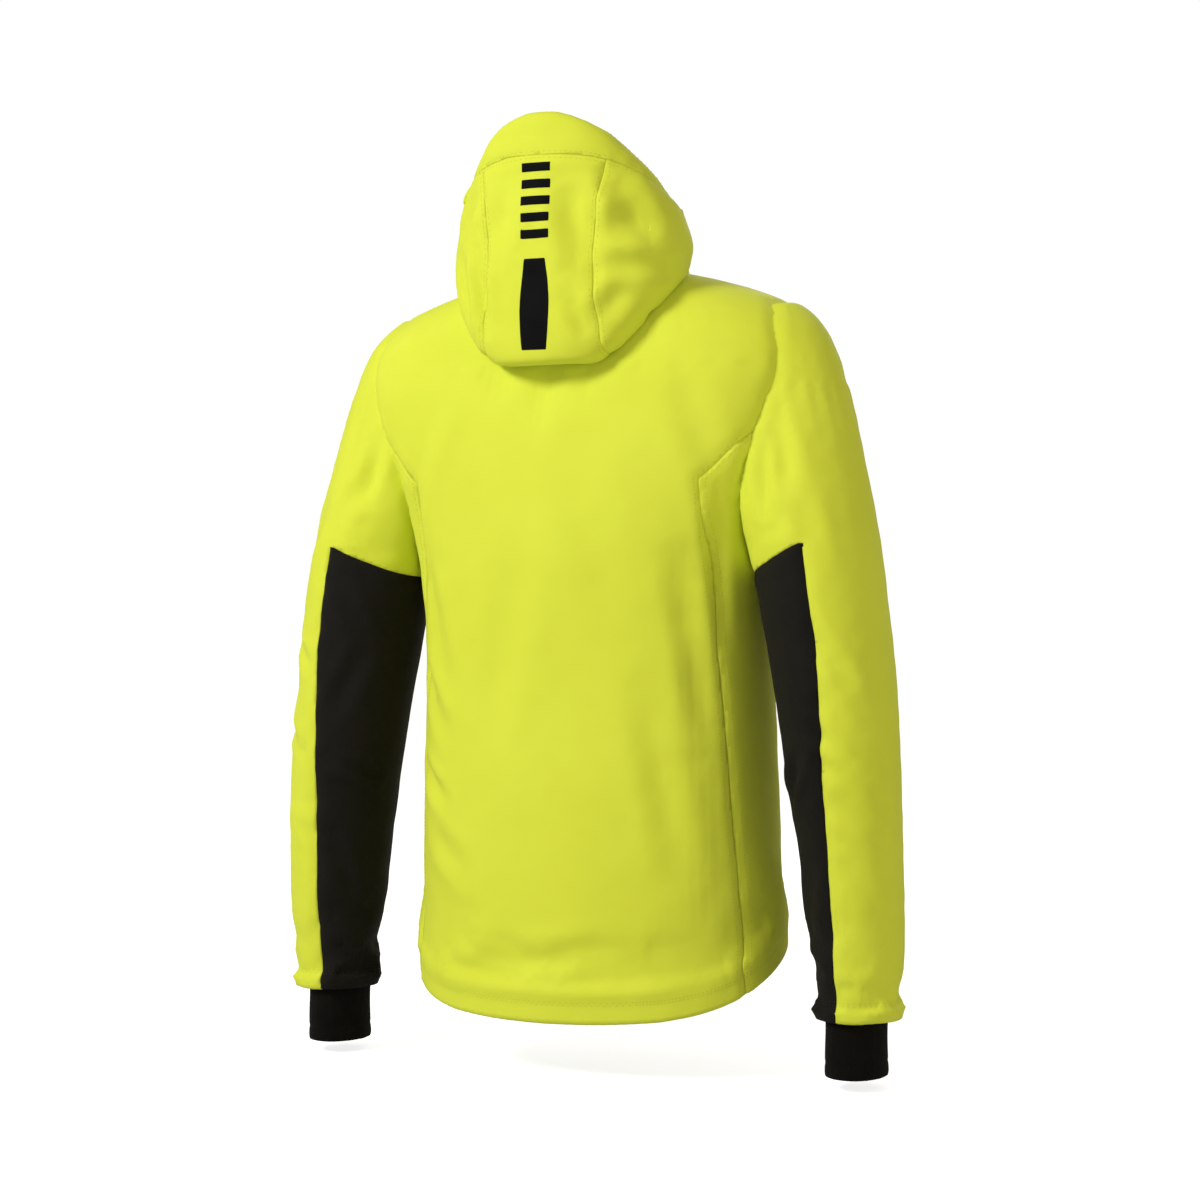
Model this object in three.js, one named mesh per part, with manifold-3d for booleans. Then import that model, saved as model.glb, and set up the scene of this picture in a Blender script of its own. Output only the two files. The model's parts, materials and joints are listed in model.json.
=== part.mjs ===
// A padded, hooded ski jacket, standing as it does when it is worn, with its arms hanging.
// Millimetres. +Z up, the jacket's front faces -Y, and the wearer's left side is +X.
// The origin is the bearing point of the hanger loop, inside the back of the neck.
//
// Every cloth piece is cut from three closed lofts: the body, the two sleeves and the hood.
// A loft grown by an offset gives the outside, and shrunk by the wall gives the inside.

import * as THREE from 'three';
import { mergeVertices } from 'three/addons/utils/BufferGeometryUtils.js';
import Module from 'manifold-3d';

const wasm = await Module();
wasm.setup();

// ---------------------------------------------------------------- driving dimensions

const SEAM = 0.35; // gap left between two pieces that are sewn or set against each other
const BODY_WALL = 8; // shell cloth, padding and lining of the body
const SLEEVE_WALL = 7;
const HOOD_WALL = 7;
const COLLAR_WALL = 5;
const LINING_WALL = 2.5; // brushed lining inside the collar

const HEM_FRONT_Z = -330; // front hem
const HEM_BACK_Z = -407; // dropped back hem
const COLLAR_BASE_Z = 321;
const COLLAR_HEIGHT = 69;
const COLLAR_TOP_Z = COLLAR_BASE_Z + COLLAR_HEIGHT;
const FRONT_FOOT_Y = -138; // front line at the hem
const FRONT_HEAD_Y = -88; // front line at the top of the collar
const SHOULDER_SEAM_Y = -12;

// Body stations: height, half width, back line, squareness of the section.
const BODY = [
  [-450, 193, 129, 2.05],
  [-330, 192, 129, 2.05],
  [-200, 188, 128, 2.1],
  [-90, 184, 127, 2.15],
  [0, 184, 128, 2.2],
  [45, 188, 128, 2.3],
  [95, 204, 126, 2.5],
  [150, 222, 122, 2.8],
  [190, 234, 116, 3.1],
  [235, 236, 108, 3.2],
  [256, 232, 102, 3],
  [268, 226, 98, 2.7],
  [280, 214, 93, 2.5],
  [292, 195, 87, 2.3],
  [304, 163, 81, 2.2],
  [313, 131, 77, 2.1],
  [321, 100, 74, 2.05],
  [330, 84, 70, 2],
];

// Sleeve stations: height, centre X, centre Y, half width, half depth.
const SLEEVE = [
  [-460, 287, 29, 42, 48],
  [-397, 285, 30, 43, 50],
  [-285, 281, 31, 45.5, 55],
  [-200, 275, 33, 50, 60],
  [-137, 269, 34, 54, 65],
  [-60, 260, 31, 56, 70],
  [0, 250, 30, 57, 74],
  [45, 243, 28, 58, 73],
  [95, 228, 25, 63, 70],
  [150, 214, 20, 64, 64],
  [195, 204, 17, 64, 59],
  [232, 196, 14, 61, 57],
  [256, 190, 11, 55, 54],
  [272, 188, 7, 46, 45],
  [282, 188, 4, 32, 32],
  [287, 188, 3, 18, 18],
];

// Hood stations: height, centre Y, half width, half depth.
const HOOD = [
  [226, 120, 50, 28],
  [240, 110, 74, 40],
  [262, 97, 92, 53],
  [285, 82, 107, 67],
  [305, 70, 117, 78],
  [345, 58, 122, 88],
  [378, 67, 112, 77],
  [408, 84, 94, 60],
  [427, 99, 80, 45],
  [445, 114, 65, 29],
  [456, 124, 48, 18],
  [463, 129, 32, 11],
  [467, 131, 16, 6],
];

// Collar stations: height, half width, back line.
const COLLAR = [
  [312, 88, 73],
  [340, 84, 68],
  [365, 81, 63],
  [400, 78, 58],
];

const SLEEVE_HEM_Z = -397;
const BODY_FOOT_Z = HEM_BACK_Z - 43; // where the body's loft starts, below its hem

// Body seams, on the wearer's left: half width, height. The right side mirrors them.
const SIDE_SEAM = [
  [236, 196],
  [152, 114],
  [158, -52],
  [177, -372],
  [182, HEM_BACK_Z - 63],
];
// Sleeve seam between the outer and the inner panel: half width, height.
const SLEEVE_SEAM = [
  [250, 75],
  [268, -50],
  [276, -285],
  [279, SLEEVE_HEM_Z - 73],
];
// Hood seam between the centre and the side panels: half width, height.
const HOOD_SEAM = [
  [66, 200],
  [62, 262],
  [55, 330],
  [60, 378],
  [70, 440],
];

const CAP_END_Z = 55; // sleeve head down to the top of the black panel
const ELBOW_Z = -100;
const ELBOW_HALF = 60; // half height of the stretch of sleeve that bends
// The gaiter: how far it runs up into the sleeve and down past the hem, and the room round it.
const GAITER = { rise: 45, drop: 53, flange: 8, wall: 3, roomX: 7.5, roomY: 4, inX: 3, inY: 0.5 };

const HOOD_CLEAR = 2; // hood above the shoulders
const HOOD_HINGE = { y: -10, z: COLLAR_BASE_Z + 4 };
const HOOD_BAND_RADIUS = 118; // neck band of the hood, about its hinge
const HOOD_BAND_HALF_WIDTH = 99;
const MOUTH = { rise: 1, z: 353 }; // mouth plane: z = rise * y + z
const BRIM = { rise: 0.4, z: 367 }; // brim seam plane

const ZIP_SLOT_HALF = 11; // half width of the opening between the two front panels
const TAPE_DEPTH = 3; // middle of the tape, behind the outer surface
const TAPE_WALL = 1.4;
const TEETH = { inner: 0.8, outer: 3.8, wall: 5 };
const ZIP_FOOT = 13; // retainer box below the tapes
const SLIDER = { width: 11, height: 15, plate: 1.5, blade: 1, bladeHeight: 4, earReach: 4.4 };
const PIN_RADIUS = 0.9;
const PULL = { length: 26, width: 8, wall: 2.2, hub: 2.3, hubWidth: 4.6 };
const SLIDER_REST = 24; // slider below the top of the front line
const FLAP = { halfWidth: 28, wall: 2.5 };

const POCKET = {
  x: 112,
  z: -150, // middle of the pocket zip
  tilt: 14, // degrees from upright
  length: 168,
  gauge: 0.8, // size of its zip beside the front zip
  frame: 8.8, // half width of its recess
  depth: 6.3,
  bagWidth: 130,
  bagFoot: 14, // foot of the pocket bag above the foot of its zip
  bagHeight: 170,
  bagWall: 3,
};

const SKIRT = { top: HEM_FRONT_Z + 80, bottom: HEM_FRONT_Z + 38, wall: 2, drawIn: 14, frontHalf: 42 };
const LOOP = { halfWidth: 34, height: 17, strap: 5, wall: 2.2, z: COLLAR_BASE_Z + 1, back: 53 };
const CORD_LOCK = { x: 150, z: HEM_FRONT_Z + 4, inset: 11, radius: 7, height: 17, button: 4.6, buttonHeight: 6 };

const BODY_SIDES = 36;
const SLEEVE_SIDES = 22;
const HOOD_SIDES = 28;
const INNER_SIDES = 24;
const SLEEVE_INNER_SIDES = 16;

// ---------------------------------------------------------------- finishes

const YELLOW = new THREE.MeshStandardMaterial({ color: 0xdbe44a, roughness: 0.62 });
const BLACK = new THREE.MeshStandardMaterial({ color: 0x171513, roughness: 0.7 });
const KNIT = new THREE.MeshStandardMaterial({ color: 0x0e0c0a, roughness: 0.85 });
const LINING = new THREE.MeshStandardMaterial({ color: 0x2a2a2c, roughness: 0.9 });
const METAL = new THREE.MeshStandardMaterial({ color: 0x2b2c2e, roughness: 0.35, metalness: 0.9 });
const PLASTIC = new THREE.MeshStandardMaterial({ color: 0x151515, roughness: 0.45 });

// ---------------------------------------------------------------- solids

function solid(geometry) {
  const shape = geometry.clone();
  shape.deleteAttribute('normal');
  shape.deleteAttribute('uv');
  const merged = mergeVertices(shape, 1e-4);
  return new wasm.Manifold(
    new wasm.Mesh({
      numProp: 3,
      vertProperties: new Float32Array(merged.attributes.position.array),
      triVerts: new Uint32Array(merged.index.array),
    }),
  );
}

// The largest closed body of a cut, so that a sliver left beside a seam is not kept.
function largestBody(cut) {
  const mesh = cut.getMesh();
  const corner = mesh.triVerts;
  const at = mesh.vertProperties;
  const root = Array.from({ length: at.length / 3 }, (_, i) => i);
  const find = (i) => {
    while (root[i] !== i) {
      root[i] = root[root[i]];
      i = root[i];
    }
    return i;
  };
  for (let t = 0; t < corner.length; t += 3) {
    root[find(corner[t])] = find(corner[t + 1]);
    root[find(corner[t + 1])] = find(corner[t + 2]);
  }
  const volume = new Map();
  const p = (i) => new THREE.Vector3(at[3 * i], at[3 * i + 1], at[3 * i + 2]);
  for (let t = 0; t < corner.length; t += 3) {
    const key = find(corner[t]);
    const six = p(corner[t]).dot(p(corner[t + 1]).cross(p(corner[t + 2])));
    volume.set(key, (volume.get(key) ?? 0) + six);
  }
  const kept = [...volume.entries()].sort((a, b) => b[1] - a[1])[0][0];
  const index = [];
  for (let t = 0; t < corner.length; t += 3) {
    if (find(corner[t]) === kept) index.push(corner[t], corner[t + 1], corner[t + 2]);
  }
  const geometry = new THREE.BufferGeometry();
  geometry.setAttribute('position', new THREE.BufferAttribute(new Float32Array(at), 3));
  geometry.setIndex(index);
  return geometry;
}

// A closed loft through rings of points, each ring anticlockwise from above, lowest ring first.
function loft(rings) {
  const sides = rings[0].length;
  const points = rings.flat();
  const index = [];
  for (let r = 0; r < rings.length - 1; r += 1) {
    for (let s = 0; s < sides; s += 1) {
      const a = r * sides + s;
      const b = r * sides + ((s + 1) % sides);
      index.push(a, b, b + sides, a, b + sides, a + sides);
    }
  }
  for (const [ring, up] of [[rings[0], false], [rings[rings.length - 1], true]]) {
    const centre = ring.reduce((sum, q) => sum.add(q), new THREE.Vector3()).divideScalar(sides);
    const first = up ? (rings.length - 1) * sides : 0;
    points.push(centre);
    for (let s = 0; s < sides; s += 1) {
      const a = first + s;
      const b = first + ((s + 1) % sides);
      index.push(...(up ? [a, b, points.length - 1] : [b, a, points.length - 1]));
    }
  }
  const geometry = new THREE.BufferGeometry().setFromPoints(points);
  geometry.setIndex(index);
  return geometry;
}

// A smooth reading of a station table at height z.
function station(table, z) {
  const last = table.length - 1;
  let i = 0;
  while (i < last - 1 && z > table[i + 1][0]) i += 1;
  const [p0, p1, p2, p3] = [table[Math.max(i - 1, 0)], table[i], table[i + 1], table[Math.min(i + 2, last)]];
  const span = p2[0] - p1[0];
  const t = THREE.MathUtils.clamp((z - p1[0]) / span, 0, 1);
  return p1.map((_, k) => {
    const m1 = ((p2[k] - p0[k]) / (p2[0] - p0[0])) * span;
    const m2 = ((p3[k] - p1[k]) / (p3[0] - p1[0])) * span;
    const t2 = t * t;
    const t3 = t2 * t;
    return (
      (2 * t3 - 3 * t2 + 1) * p1[k] + (t3 - 2 * t2 + t) * m1 + (3 * t2 - 2 * t3) * p2[k] + (t3 - t2) * m2
    );
  });
}

function ring(z, x, y, halfWidth, halfDepth, squareness, sides) {
  const points = [];
  for (let s = 0; s < sides; s += 1) {
    const angle = (2 * Math.PI * s) / sides;
    const [c, d] = [Math.cos(angle), Math.sin(angle)];
    points.push(
      new THREE.Vector3(
        x + halfWidth * Math.sign(c) * Math.abs(c) ** (2 / squareness),
        y + halfDepth * Math.sign(d) * Math.abs(d) ** (2 / squareness),
        z,
      ),
    );
  }
  return points;
}

// How far a level moves up (+1) or down (-1) when a loft grows by one.
const lean = (z, low, high) => THREE.MathUtils.smoothstep(z, (low + high) / 2, high);

function frontY(z) {
  const rise = (FRONT_HEAD_Y - FRONT_FOOT_Y) / (COLLAR_TOP_Z - HEM_FRONT_Z);
  return FRONT_FOOT_Y + (z - HEM_FRONT_Z) * rise;
}

const BODY_LEVELS = [
  BODY_FOOT_Z, -340, -250, -160, -80, -10, 45, 90, 135, 175, 210, 240, 260, 275, 287, 299, 309, 320, 330,
];

const INNER_LEVELS = [BODY_FOOT_Z, -250, -80, 45, 135, 210, 260, 287, 309, 330];

function bodySolid(grow, sides = BODY_SIDES, levels = BODY_LEVELS) {
  const rings = levels.map((level) => {
    const [, halfWidth, back, squareness] = station(BODY, level);
    const front = frontY(level);
    const up = level + grow * lean(level, -100, 300);
    return ring(up, 0, (front + back) / 2, halfWidth + grow, (back - front) / 2 + grow, squareness, sides);
  });
  if (grow < 0) rings.unshift(rings[0].map((q) => q.clone().setZ(q.z - 80)));
  return solid(loft(rings));
}

// The space inside the body's wall, less a further depth.
const innerBody = (depth) => bodySolid(-BODY_WALL - depth, INNER_SIDES, INNER_LEVELS);

const SLEEVE_LEVELS = [-397, -310, -230, -160, -100, -40, 10, 55, 95, 140, 180, 212, 237, 256, 271, 281, 287];

function sleeveSolid(side, grow, low, sides = SLEEVE_SIDES) {
  const rings = [low, ...SLEEVE_LEVELS.filter((level) => level > low + 5)].map((level) => {
    const [, x, y, halfWidth, halfDepth] = station(SLEEVE, level);
    return ring(level + grow * lean(level, 120, 282), side * x, y, halfWidth + grow, halfDepth + grow, 2, sides);
  });
  return solid(loft(rings));
}

// The space inside a sleeve's wall, less a further depth, open past the hem.
const sleeveInside = (side, depth) => sleeveSolid(side, -SLEEVE_WALL - depth, SLEEVE_HEM_Z - 20, SLEEVE_INNER_SIDES);

function hoodSolid(grow, sides = HOOD_SIDES) {
  const middle = HOOD.findIndex((row) => row[0] === 345);
  const rings = HOOD.map(([z, y, halfWidth, halfDepth], i) => {
    const shift = grow * THREE.MathUtils.clamp((i - middle) / (i > middle ? 5 : 4), -1, 1);
    const floor = 2; // a tip never shrinks to nothing
    return ring(z + shift, 0, y, Math.max(halfWidth + grow, floor), Math.max(halfDepth + grow, floor), 2.1, sides);
  });
  return solid(loft(rings));
}

function collarSolid(grow, low, high) {
  const levels = [low, ...COLLAR.map((row) => row[0]).filter((z) => z > low && z < high), high];
  const rings = levels.map((level) => {
    const [, halfWidth, back] = station(COLLAR, level);
    const front = frontY(level);
    return ring(level, 0, (front + back) / 2, halfWidth + grow, (back - front) / 2 + grow, 2, HOOD_SIDES);
  });
  return solid(loft(rings));
}

function box(low, high) {
  const size = high.map((v, i) => v - low[i]);
  const geometry = new THREE.BoxGeometry(...size);
  geometry.translate(...low.map((v, i) => v + size[i] / 2));
  return solid(geometry);
}

// A prism along Y over an outline drawn as [x, z] from the front.
function prismY(outline, low = -400, high = 400) {
  const shape = new THREE.Shape(outline.map(([x, z]) => new THREE.Vector2(x, z)));
  const geometry = new THREE.ExtrudeGeometry(shape, { depth: high - low, bevelEnabled: false });
  geometry.rotateX(Math.PI / 2);
  geometry.translate(0, high, 0);
  return solid(geometry);
}

// A prism along X over an outline drawn as [y, z] from the wearer's left.
function prismX(outline, low = -500, high = 500) {
  const shape = new THREE.Shape(outline.map(([y, z]) => new THREE.Vector2(y, z)));
  const geometry = new THREE.ExtrudeGeometry(shape, { depth: high - low, bevelEnabled: false });
  geometry.rotateX(Math.PI / 2);
  geometry.rotateZ(Math.PI / 2);
  geometry.translate(low, 0, 0);
  return solid(geometry);
}

function cylinderX(radius, x0, x1, y, z, sides = 14) {
  const geometry = new THREE.CylinderGeometry(radius, radius, x1 - x0, sides);
  geometry.rotateZ(Math.PI / 2);
  geometry.translate((x0 + x1) / 2, y, z);
  return solid(geometry);
}

function cylinderZ(radius, x, y, z0, z1, sides = 16) {
  const geometry = new THREE.CylinderGeometry(radius, radius, z1 - z0, sides);
  geometry.rotateX(Math.PI / 2);
  geometry.translate(x, y, (z0 + z1) / 2);
  return solid(geometry);
}

// Everything outboard of a seam line on one side, moved outward by a clearance.
function outboard(seam, side, clear) {
  const line = seam.map(([x, z]) => [side * (x + clear), z]);
  const [top, bottom] = [seam[0], seam[seam.length - 1]];
  return prismY([...line, [side * 600, bottom[1]], [side * 600, top[1]]]);
}

// Everything inboard of the sleeve or hood seam on one side.
function inboard(seam, side, clear) {
  const line = seam.map(([x, z]) => [side * (x - clear), z]);
  const [top, bottom] = [seam[0], seam[seam.length - 1]];
  return prismY([...line, [0, bottom[1]], [0, top[1]]]);
}

// ---------------------------------------------------------------- scene graph

const garment = new THREE.Group();
const LOOP_TOP = LOOP.z + LOOP.height - LOOP.strap;
garment.position.set(0, -(LOOP.back + LOOP.wall / 2), -LOOP_TOP);

function addPiece(name, cut, material, parent = garment) {
  const mesh = new THREE.Mesh(largestBody(cut), material);
  mesh.name = name;
  parent.add(mesh);
  return mesh;
}

const SIDES = [
  ['left', 1],
  ['right', -1],
];

// ---------------------------------------------------------------- body panels

// The hem line seen from the side: level at the front, dropped at the back.
function belowHem() {
  const hem = new THREE.CubicBezierCurve(
    new THREE.Vector2(-90, HEM_FRONT_Z),
    new THREE.Vector2(-10, HEM_FRONT_Z),
    new THREE.Vector2(45, HEM_BACK_Z + 10),
    new THREE.Vector2(132, HEM_BACK_Z),
  );
  const line = hem.getPoints(9).map((q) => [q.x, q.y]);
  return prismX([[-300, HEM_BACK_Z - 193], [300, HEM_BACK_Z - 193], [300, HEM_BACK_Z - 8], ...line.reverse(), [-300, HEM_FRONT_Z]]);
}

const bodyInside = innerBody(0);
const sleeveHole = SIDES.map(([, side]) => sleeveSolid(side, SEAM, SLEEVE_HEM_Z));
const neckHole = collarSolid(-COLLAR_WALL, COLLAR_BASE_Z - 41, COLLAR_BASE_Z + 39);
const zipSlot = prismY([[-ZIP_SLOT_HALF, -600], [ZIP_SLOT_HALF, -600], [ZIP_SLOT_HALF, 600], [-ZIP_SLOT_HALF, 600]], -400, 0);

const bodyShell = bodySolid(0)
  .subtract(bodyInside)
  .subtract(neckHole)
  .subtract(box([-200, -200, COLLAR_BASE_Z - SEAM], [200, 200, 400]))
  .subtract(belowHem())
  .subtract(sleeveHole[0])
  .subtract(sleeveHole[1]);

let centreBody = bodyShell.subtract(zipSlot);
for (const [name, side] of SIDES) {
  addPiece(`side_panel_${name}`, bodyShell.intersect(outboard(SIDE_SEAM, side, 0)), YELLOW);
  centreBody = centreBody.subtract(outboard(SIDE_SEAM, side, -SEAM));
}
const behindShoulder = box([-400, SHOULDER_SEAM_Y + SEAM / 2, -600], [400, 400, 600]);
addPiece('back_panel', centreBody.intersect(behindShoulder), YELLOW);

// ---------------------------------------------------------------- front line and pockets

const FRONT_LEAN = Math.atan((FRONT_HEAD_Y - FRONT_FOOT_Y) / (COLLAR_TOP_Z - HEM_FRONT_Z));
const FRONT_LENGTH = (COLLAR_TOP_Z - HEM_FRONT_Z) / Math.cos(FRONT_LEAN);

// A frame on the jacket's front: x to the wearer's left, y into the jacket, z up the zip.
function frontFrame() {
  const group = new THREE.Group();
  group.position.set(0, FRONT_FOOT_Y, HEM_FRONT_Z);
  group.rotation.x = -FRONT_LEAN;
  garment.add(group);
  return group;
}

function pocketFrame(side) {
  const surface = (x, z) => {
    const [, halfWidth, back, squareness] = station(BODY, z);
    const front = frontY(z);
    const share = (1 - Math.abs(x / halfWidth) ** squareness) ** (1 / squareness);
    return new THREE.Vector3(x, (front + back) / 2 - ((back - front) / 2) * share, z);
  };
  const across = surface(POCKET.x + 8, POCKET.z).sub(surface(POCKET.x - 8, POCKET.z)).normalize();
  const upward = surface(POCKET.x, POCKET.z + 30).sub(surface(POCKET.x, POCKET.z - 30)).normalize();
  const tilt = THREE.MathUtils.degToRad(POCKET.tilt);
  const inward = upward.clone().cross(across).normalize();
  const along = upward.clone().multiplyScalar(Math.cos(tilt)).addScaledVector(across, -Math.sin(tilt)).normalize();
  const beside = inward.clone().cross(along).normalize();
  const middle = surface(POCKET.x, POCKET.z);
  const mirror = (v) => new THREE.Vector3(side * v.x, v.y, v.z);
  const matrix = new THREE.Matrix4().makeBasis(
    mirror(beside).multiplyScalar(side),
    mirror(inward),
    mirror(along),
  );
  matrix.setPosition(mirror(middle.addScaledVector(along, -POCKET.length / 2)));
  return matrix;
}

function placed(shape, matrix) {
  const geometry = largestBody(shape);
  geometry.applyMatrix4(matrix);
  return solid(geometry);
}

const front = frontFrame();
front.updateMatrixWorld(true);
const frontMatrix = new THREE.Matrix4().compose(
  front.position,
  front.quaternion,
  new THREE.Vector3(1, 1, 1),
);

for (const [name, side] of SIDES) {
  const half = box(side > 0 ? [0, -400, -600] : [-400, -400, -600], side > 0 ? [400, 0, 600] : [0, 0, 600]);
  const aheadOfShoulder = box([-400, -400, -600], [400, SHOULDER_SEAM_Y - SEAM / 2, 600]);
  const matrix = pocketFrame(side);
  const recess = box([-POCKET.frame, -9, 0], [POCKET.frame, POCKET.depth, POCKET.length]);
  const panel = centreBody.intersect(half).intersect(aheadOfShoulder).subtract(placed(recess, matrix));
  addPiece(`front_panel_${name}`, panel, YELLOW);

  const bag = box(
    [-POCKET.bagWidth / 2, BODY_WALL - 2, POCKET.bagFoot],
    [POCKET.bagWidth / 2, BODY_WALL + POCKET.bagWall + 6, POCKET.bagFoot + POCKET.bagHeight],
  );
  const skinOut = innerBody(SEAM);
  const skinIn = innerBody(SEAM + POCKET.bagWall);
  addPiece(`pocket_bag_${name}`, placed(bag, matrix).intersect(skinOut).subtract(skinIn), LINING);
}

// ---------------------------------------------------------------- collar

const collarGap = prismY(
  [[-ZIP_SLOT_HALF, 200], [ZIP_SLOT_HALF, 200], [ZIP_SLOT_HALF, 500], [-ZIP_SLOT_HALF, 500]], -400, 0,
);
addPiece(
  'collar',
  collarSolid(0, COLLAR_BASE_Z, COLLAR_TOP_Z)
    .subtract(collarSolid(-COLLAR_WALL, COLLAR_BASE_Z - 5, COLLAR_TOP_Z + 5))
    .subtract(collarGap),
  YELLOW,
);
addPiece(
  'collar_lining',
  collarSolid(-COLLAR_WALL - SEAM, COLLAR_BASE_Z + 16, COLLAR_TOP_Z - 2)
    .subtract(collarSolid(-COLLAR_WALL - SEAM - LINING_WALL, COLLAR_BASE_Z, COLLAR_TOP_Z + 5))
    .subtract(collarGap),
  LINING,
);

// ---------------------------------------------------------------- zips

// One half of a zip chain: a tape with its row of teeth, on the side given.
function chainHalf(side, from, to, edge) {
  const tape = box(
    [side > 0 ? TEETH.outer - 0.5 : -edge, TAPE_DEPTH - TAPE_WALL / 2, from],
    [side > 0 ? edge : 0.5 - TEETH.outer, TAPE_DEPTH + TAPE_WALL / 2, to],
  );
  const teeth = box(
    [side > 0 ? TEETH.inner : -TEETH.outer, TAPE_DEPTH - TEETH.wall / 2, from],
    [side > 0 ? TEETH.outer : -TEETH.inner, TAPE_DEPTH + TEETH.wall / 2, to],
  );
  return tape.add(teeth);
}

// A slider: two plates joined by a blade that runs between the teeth, and ears with a pin.
function slider() {
  const [w, h] = [SLIDER.width / 2, SLIDER.height];
  const frontFace = TAPE_DEPTH - TEETH.wall / 2 - 0.4;
  const backFace = TAPE_DEPTH + TEETH.wall / 2 + 0.4;
  const plate = (y0, y1) => prismY(
    [[-w, 0.35 * h], [-0.6 * w, 0], [0.6 * w, 0], [w, 0.35 * h], [w, h], [-w, h]], y0, y1,
  );
  const blade = box(
    [-SLIDER.blade / 2, frontFace - 0.5, h - SLIDER.bladeHeight],
    [SLIDER.blade / 2, backFace + 0.5, h],
  );
  let body = plate(frontFace - SLIDER.plate, frontFace)
    .add(plate(backFace, backFace + SLIDER.plate))
    .add(blade);
  for (const side of [1, -1]) {
    const inner = PULL.hubWidth / 2 + 0.35;
    const ear = box(
      [side > 0 ? inner : -inner - 1.3, frontFace - SLIDER.plate - SLIDER.earReach, h - 7],
      [side > 0 ? inner + 1.3 : -inner, frontFace - SLIDER.plate + 0.3, h - 2],
    );
    body = body.add(ear);
  }
  const { y, z } = pullPivot();
  return body.add(cylinderX(PIN_RADIUS, -PULL.hubWidth / 2 - 0.8, PULL.hubWidth / 2 + 0.8, y, z, 12));
}

// The pin's centre in the slider's own frame.
function pullPivot() {
  const frontFace = TAPE_DEPTH - TEETH.wall / 2 - 0.4;
  return { y: frontFace - SLIDER.plate - PULL.hub - 0.4, z: SLIDER.height - 4.5 };
}

function pull() {
  const { y, z } = pullPivot();
  const hub = cylinderX(PULL.hub, -PULL.hubWidth / 2, PULL.hubWidth / 2, y, z, 16);
  const w = PULL.width / 2;
  const tab = prismY(
    [
      [-PULL.hubWidth / 2, z], [PULL.hubWidth / 2, z], [PULL.hubWidth / 2, z - 4], [w, z - 9],
      [w, z - PULL.length + 2], [w - 2, z - PULL.length], [2 - w, z - PULL.length], [-w, z - PULL.length + 2],
      [-w, z - 9], [-PULL.hubWidth / 2, z - 4],
    ].reverse(),
    y - PULL.wall / 2,
    y + PULL.wall / 2,
  );
  const eye = cylinderX(PIN_RADIUS + 0.35, -PULL.hubWidth, PULL.hubWidth, y, z, 12);
  return hub.add(tab).subtract(eye);
}

const tapeEdge = ZIP_SLOT_HALF - SEAM;
addPiece('zip_tape_left', chainHalf(1, ZIP_FOOT, FRONT_LENGTH - 2, tapeEdge), BLACK, front);
addPiece('zip_tape_right', chainHalf(-1, ZIP_FOOT, FRONT_LENGTH - 2, tapeEdge), BLACK, front);
addPiece(
  'zip_retainer_box',
  box([-tapeEdge, TAPE_DEPTH - 2.5, 1], [tapeEdge, TAPE_DEPTH + 2.5, ZIP_FOOT - SEAM]),
  METAL,
  front,
);

const sliderGroup = new THREE.Group();
sliderGroup.position.z = FRONT_LENGTH - SLIDER_REST;
front.add(sliderGroup);
addPiece('zip_slider', slider(), METAL, sliderGroup);
addPiece('zip_pull', pull(), PLASTIC, sliderGroup);

// The storm flap lies behind the zip, against the inside of the body and the collar lining.
const flapStock = placed(
  box([-FLAP.halfWidth, BODY_WALL + 0.6, 4], [FLAP.halfWidth, BODY_WALL + 0.6 + FLAP.wall, FRONT_LENGTH - 6]),
  frontMatrix,
);
const flapKeepOut = collarSolid(SEAM, COLLAR_BASE_Z, COLLAR_TOP_Z + 20)
  .subtract(collarSolid(-COLLAR_WALL - LINING_WALL - 2 * SEAM, COLLAR_BASE_Z - 5, COLLAR_TOP_Z + 25));
addPiece(
  'storm_flap',
  flapStock
    .subtract(bodySolid(3).subtract(innerBody(SEAM)))
    .subtract(flapKeepOut),
  BLACK,
);

for (const [name, side] of SIDES) {
  const pocket = new THREE.Group();
  pocket.applyMatrix4(pocketFrame(side));
  garment.add(pocket);
  const gauged = new THREE.Group();
  gauged.scale.setScalar(POCKET.gauge);
  pocket.add(gauged);
  const length = (POCKET.length - 2 * SEAM) / POCKET.gauge;
  const edge = (POCKET.frame - SEAM) / POCKET.gauge;
  const stop = (from) => box([-edge, TAPE_DEPTH - TEETH.wall / 2, from], [edge, TAPE_DEPTH + TEETH.wall / 2, from + 5]);
  const chain = chainHalf(1, 0, length, edge).add(chainHalf(-1, 0, length, edge)).add(stop(0)).add(stop(length - 5));
  const chainMesh = addPiece(`pocket_zip_${name}`, chain, BLACK, gauged);
  chainMesh.position.z = SEAM / POCKET.gauge;
  const pocketSlider = new THREE.Group();
  pocketSlider.position.z = length - SLIDER.height - 7;
  gauged.add(pocketSlider);
  addPiece(`pocket_slider_${name}`, slider(), METAL, pocketSlider);
  addPiece(`pocket_pull_${name}`, pull(), PLASTIC, pocketSlider);
}

// ---------------------------------------------------------------- sleeves

function between(low, high) {
  return box([-600, -400, low], [600, 400, high]);
}

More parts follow.
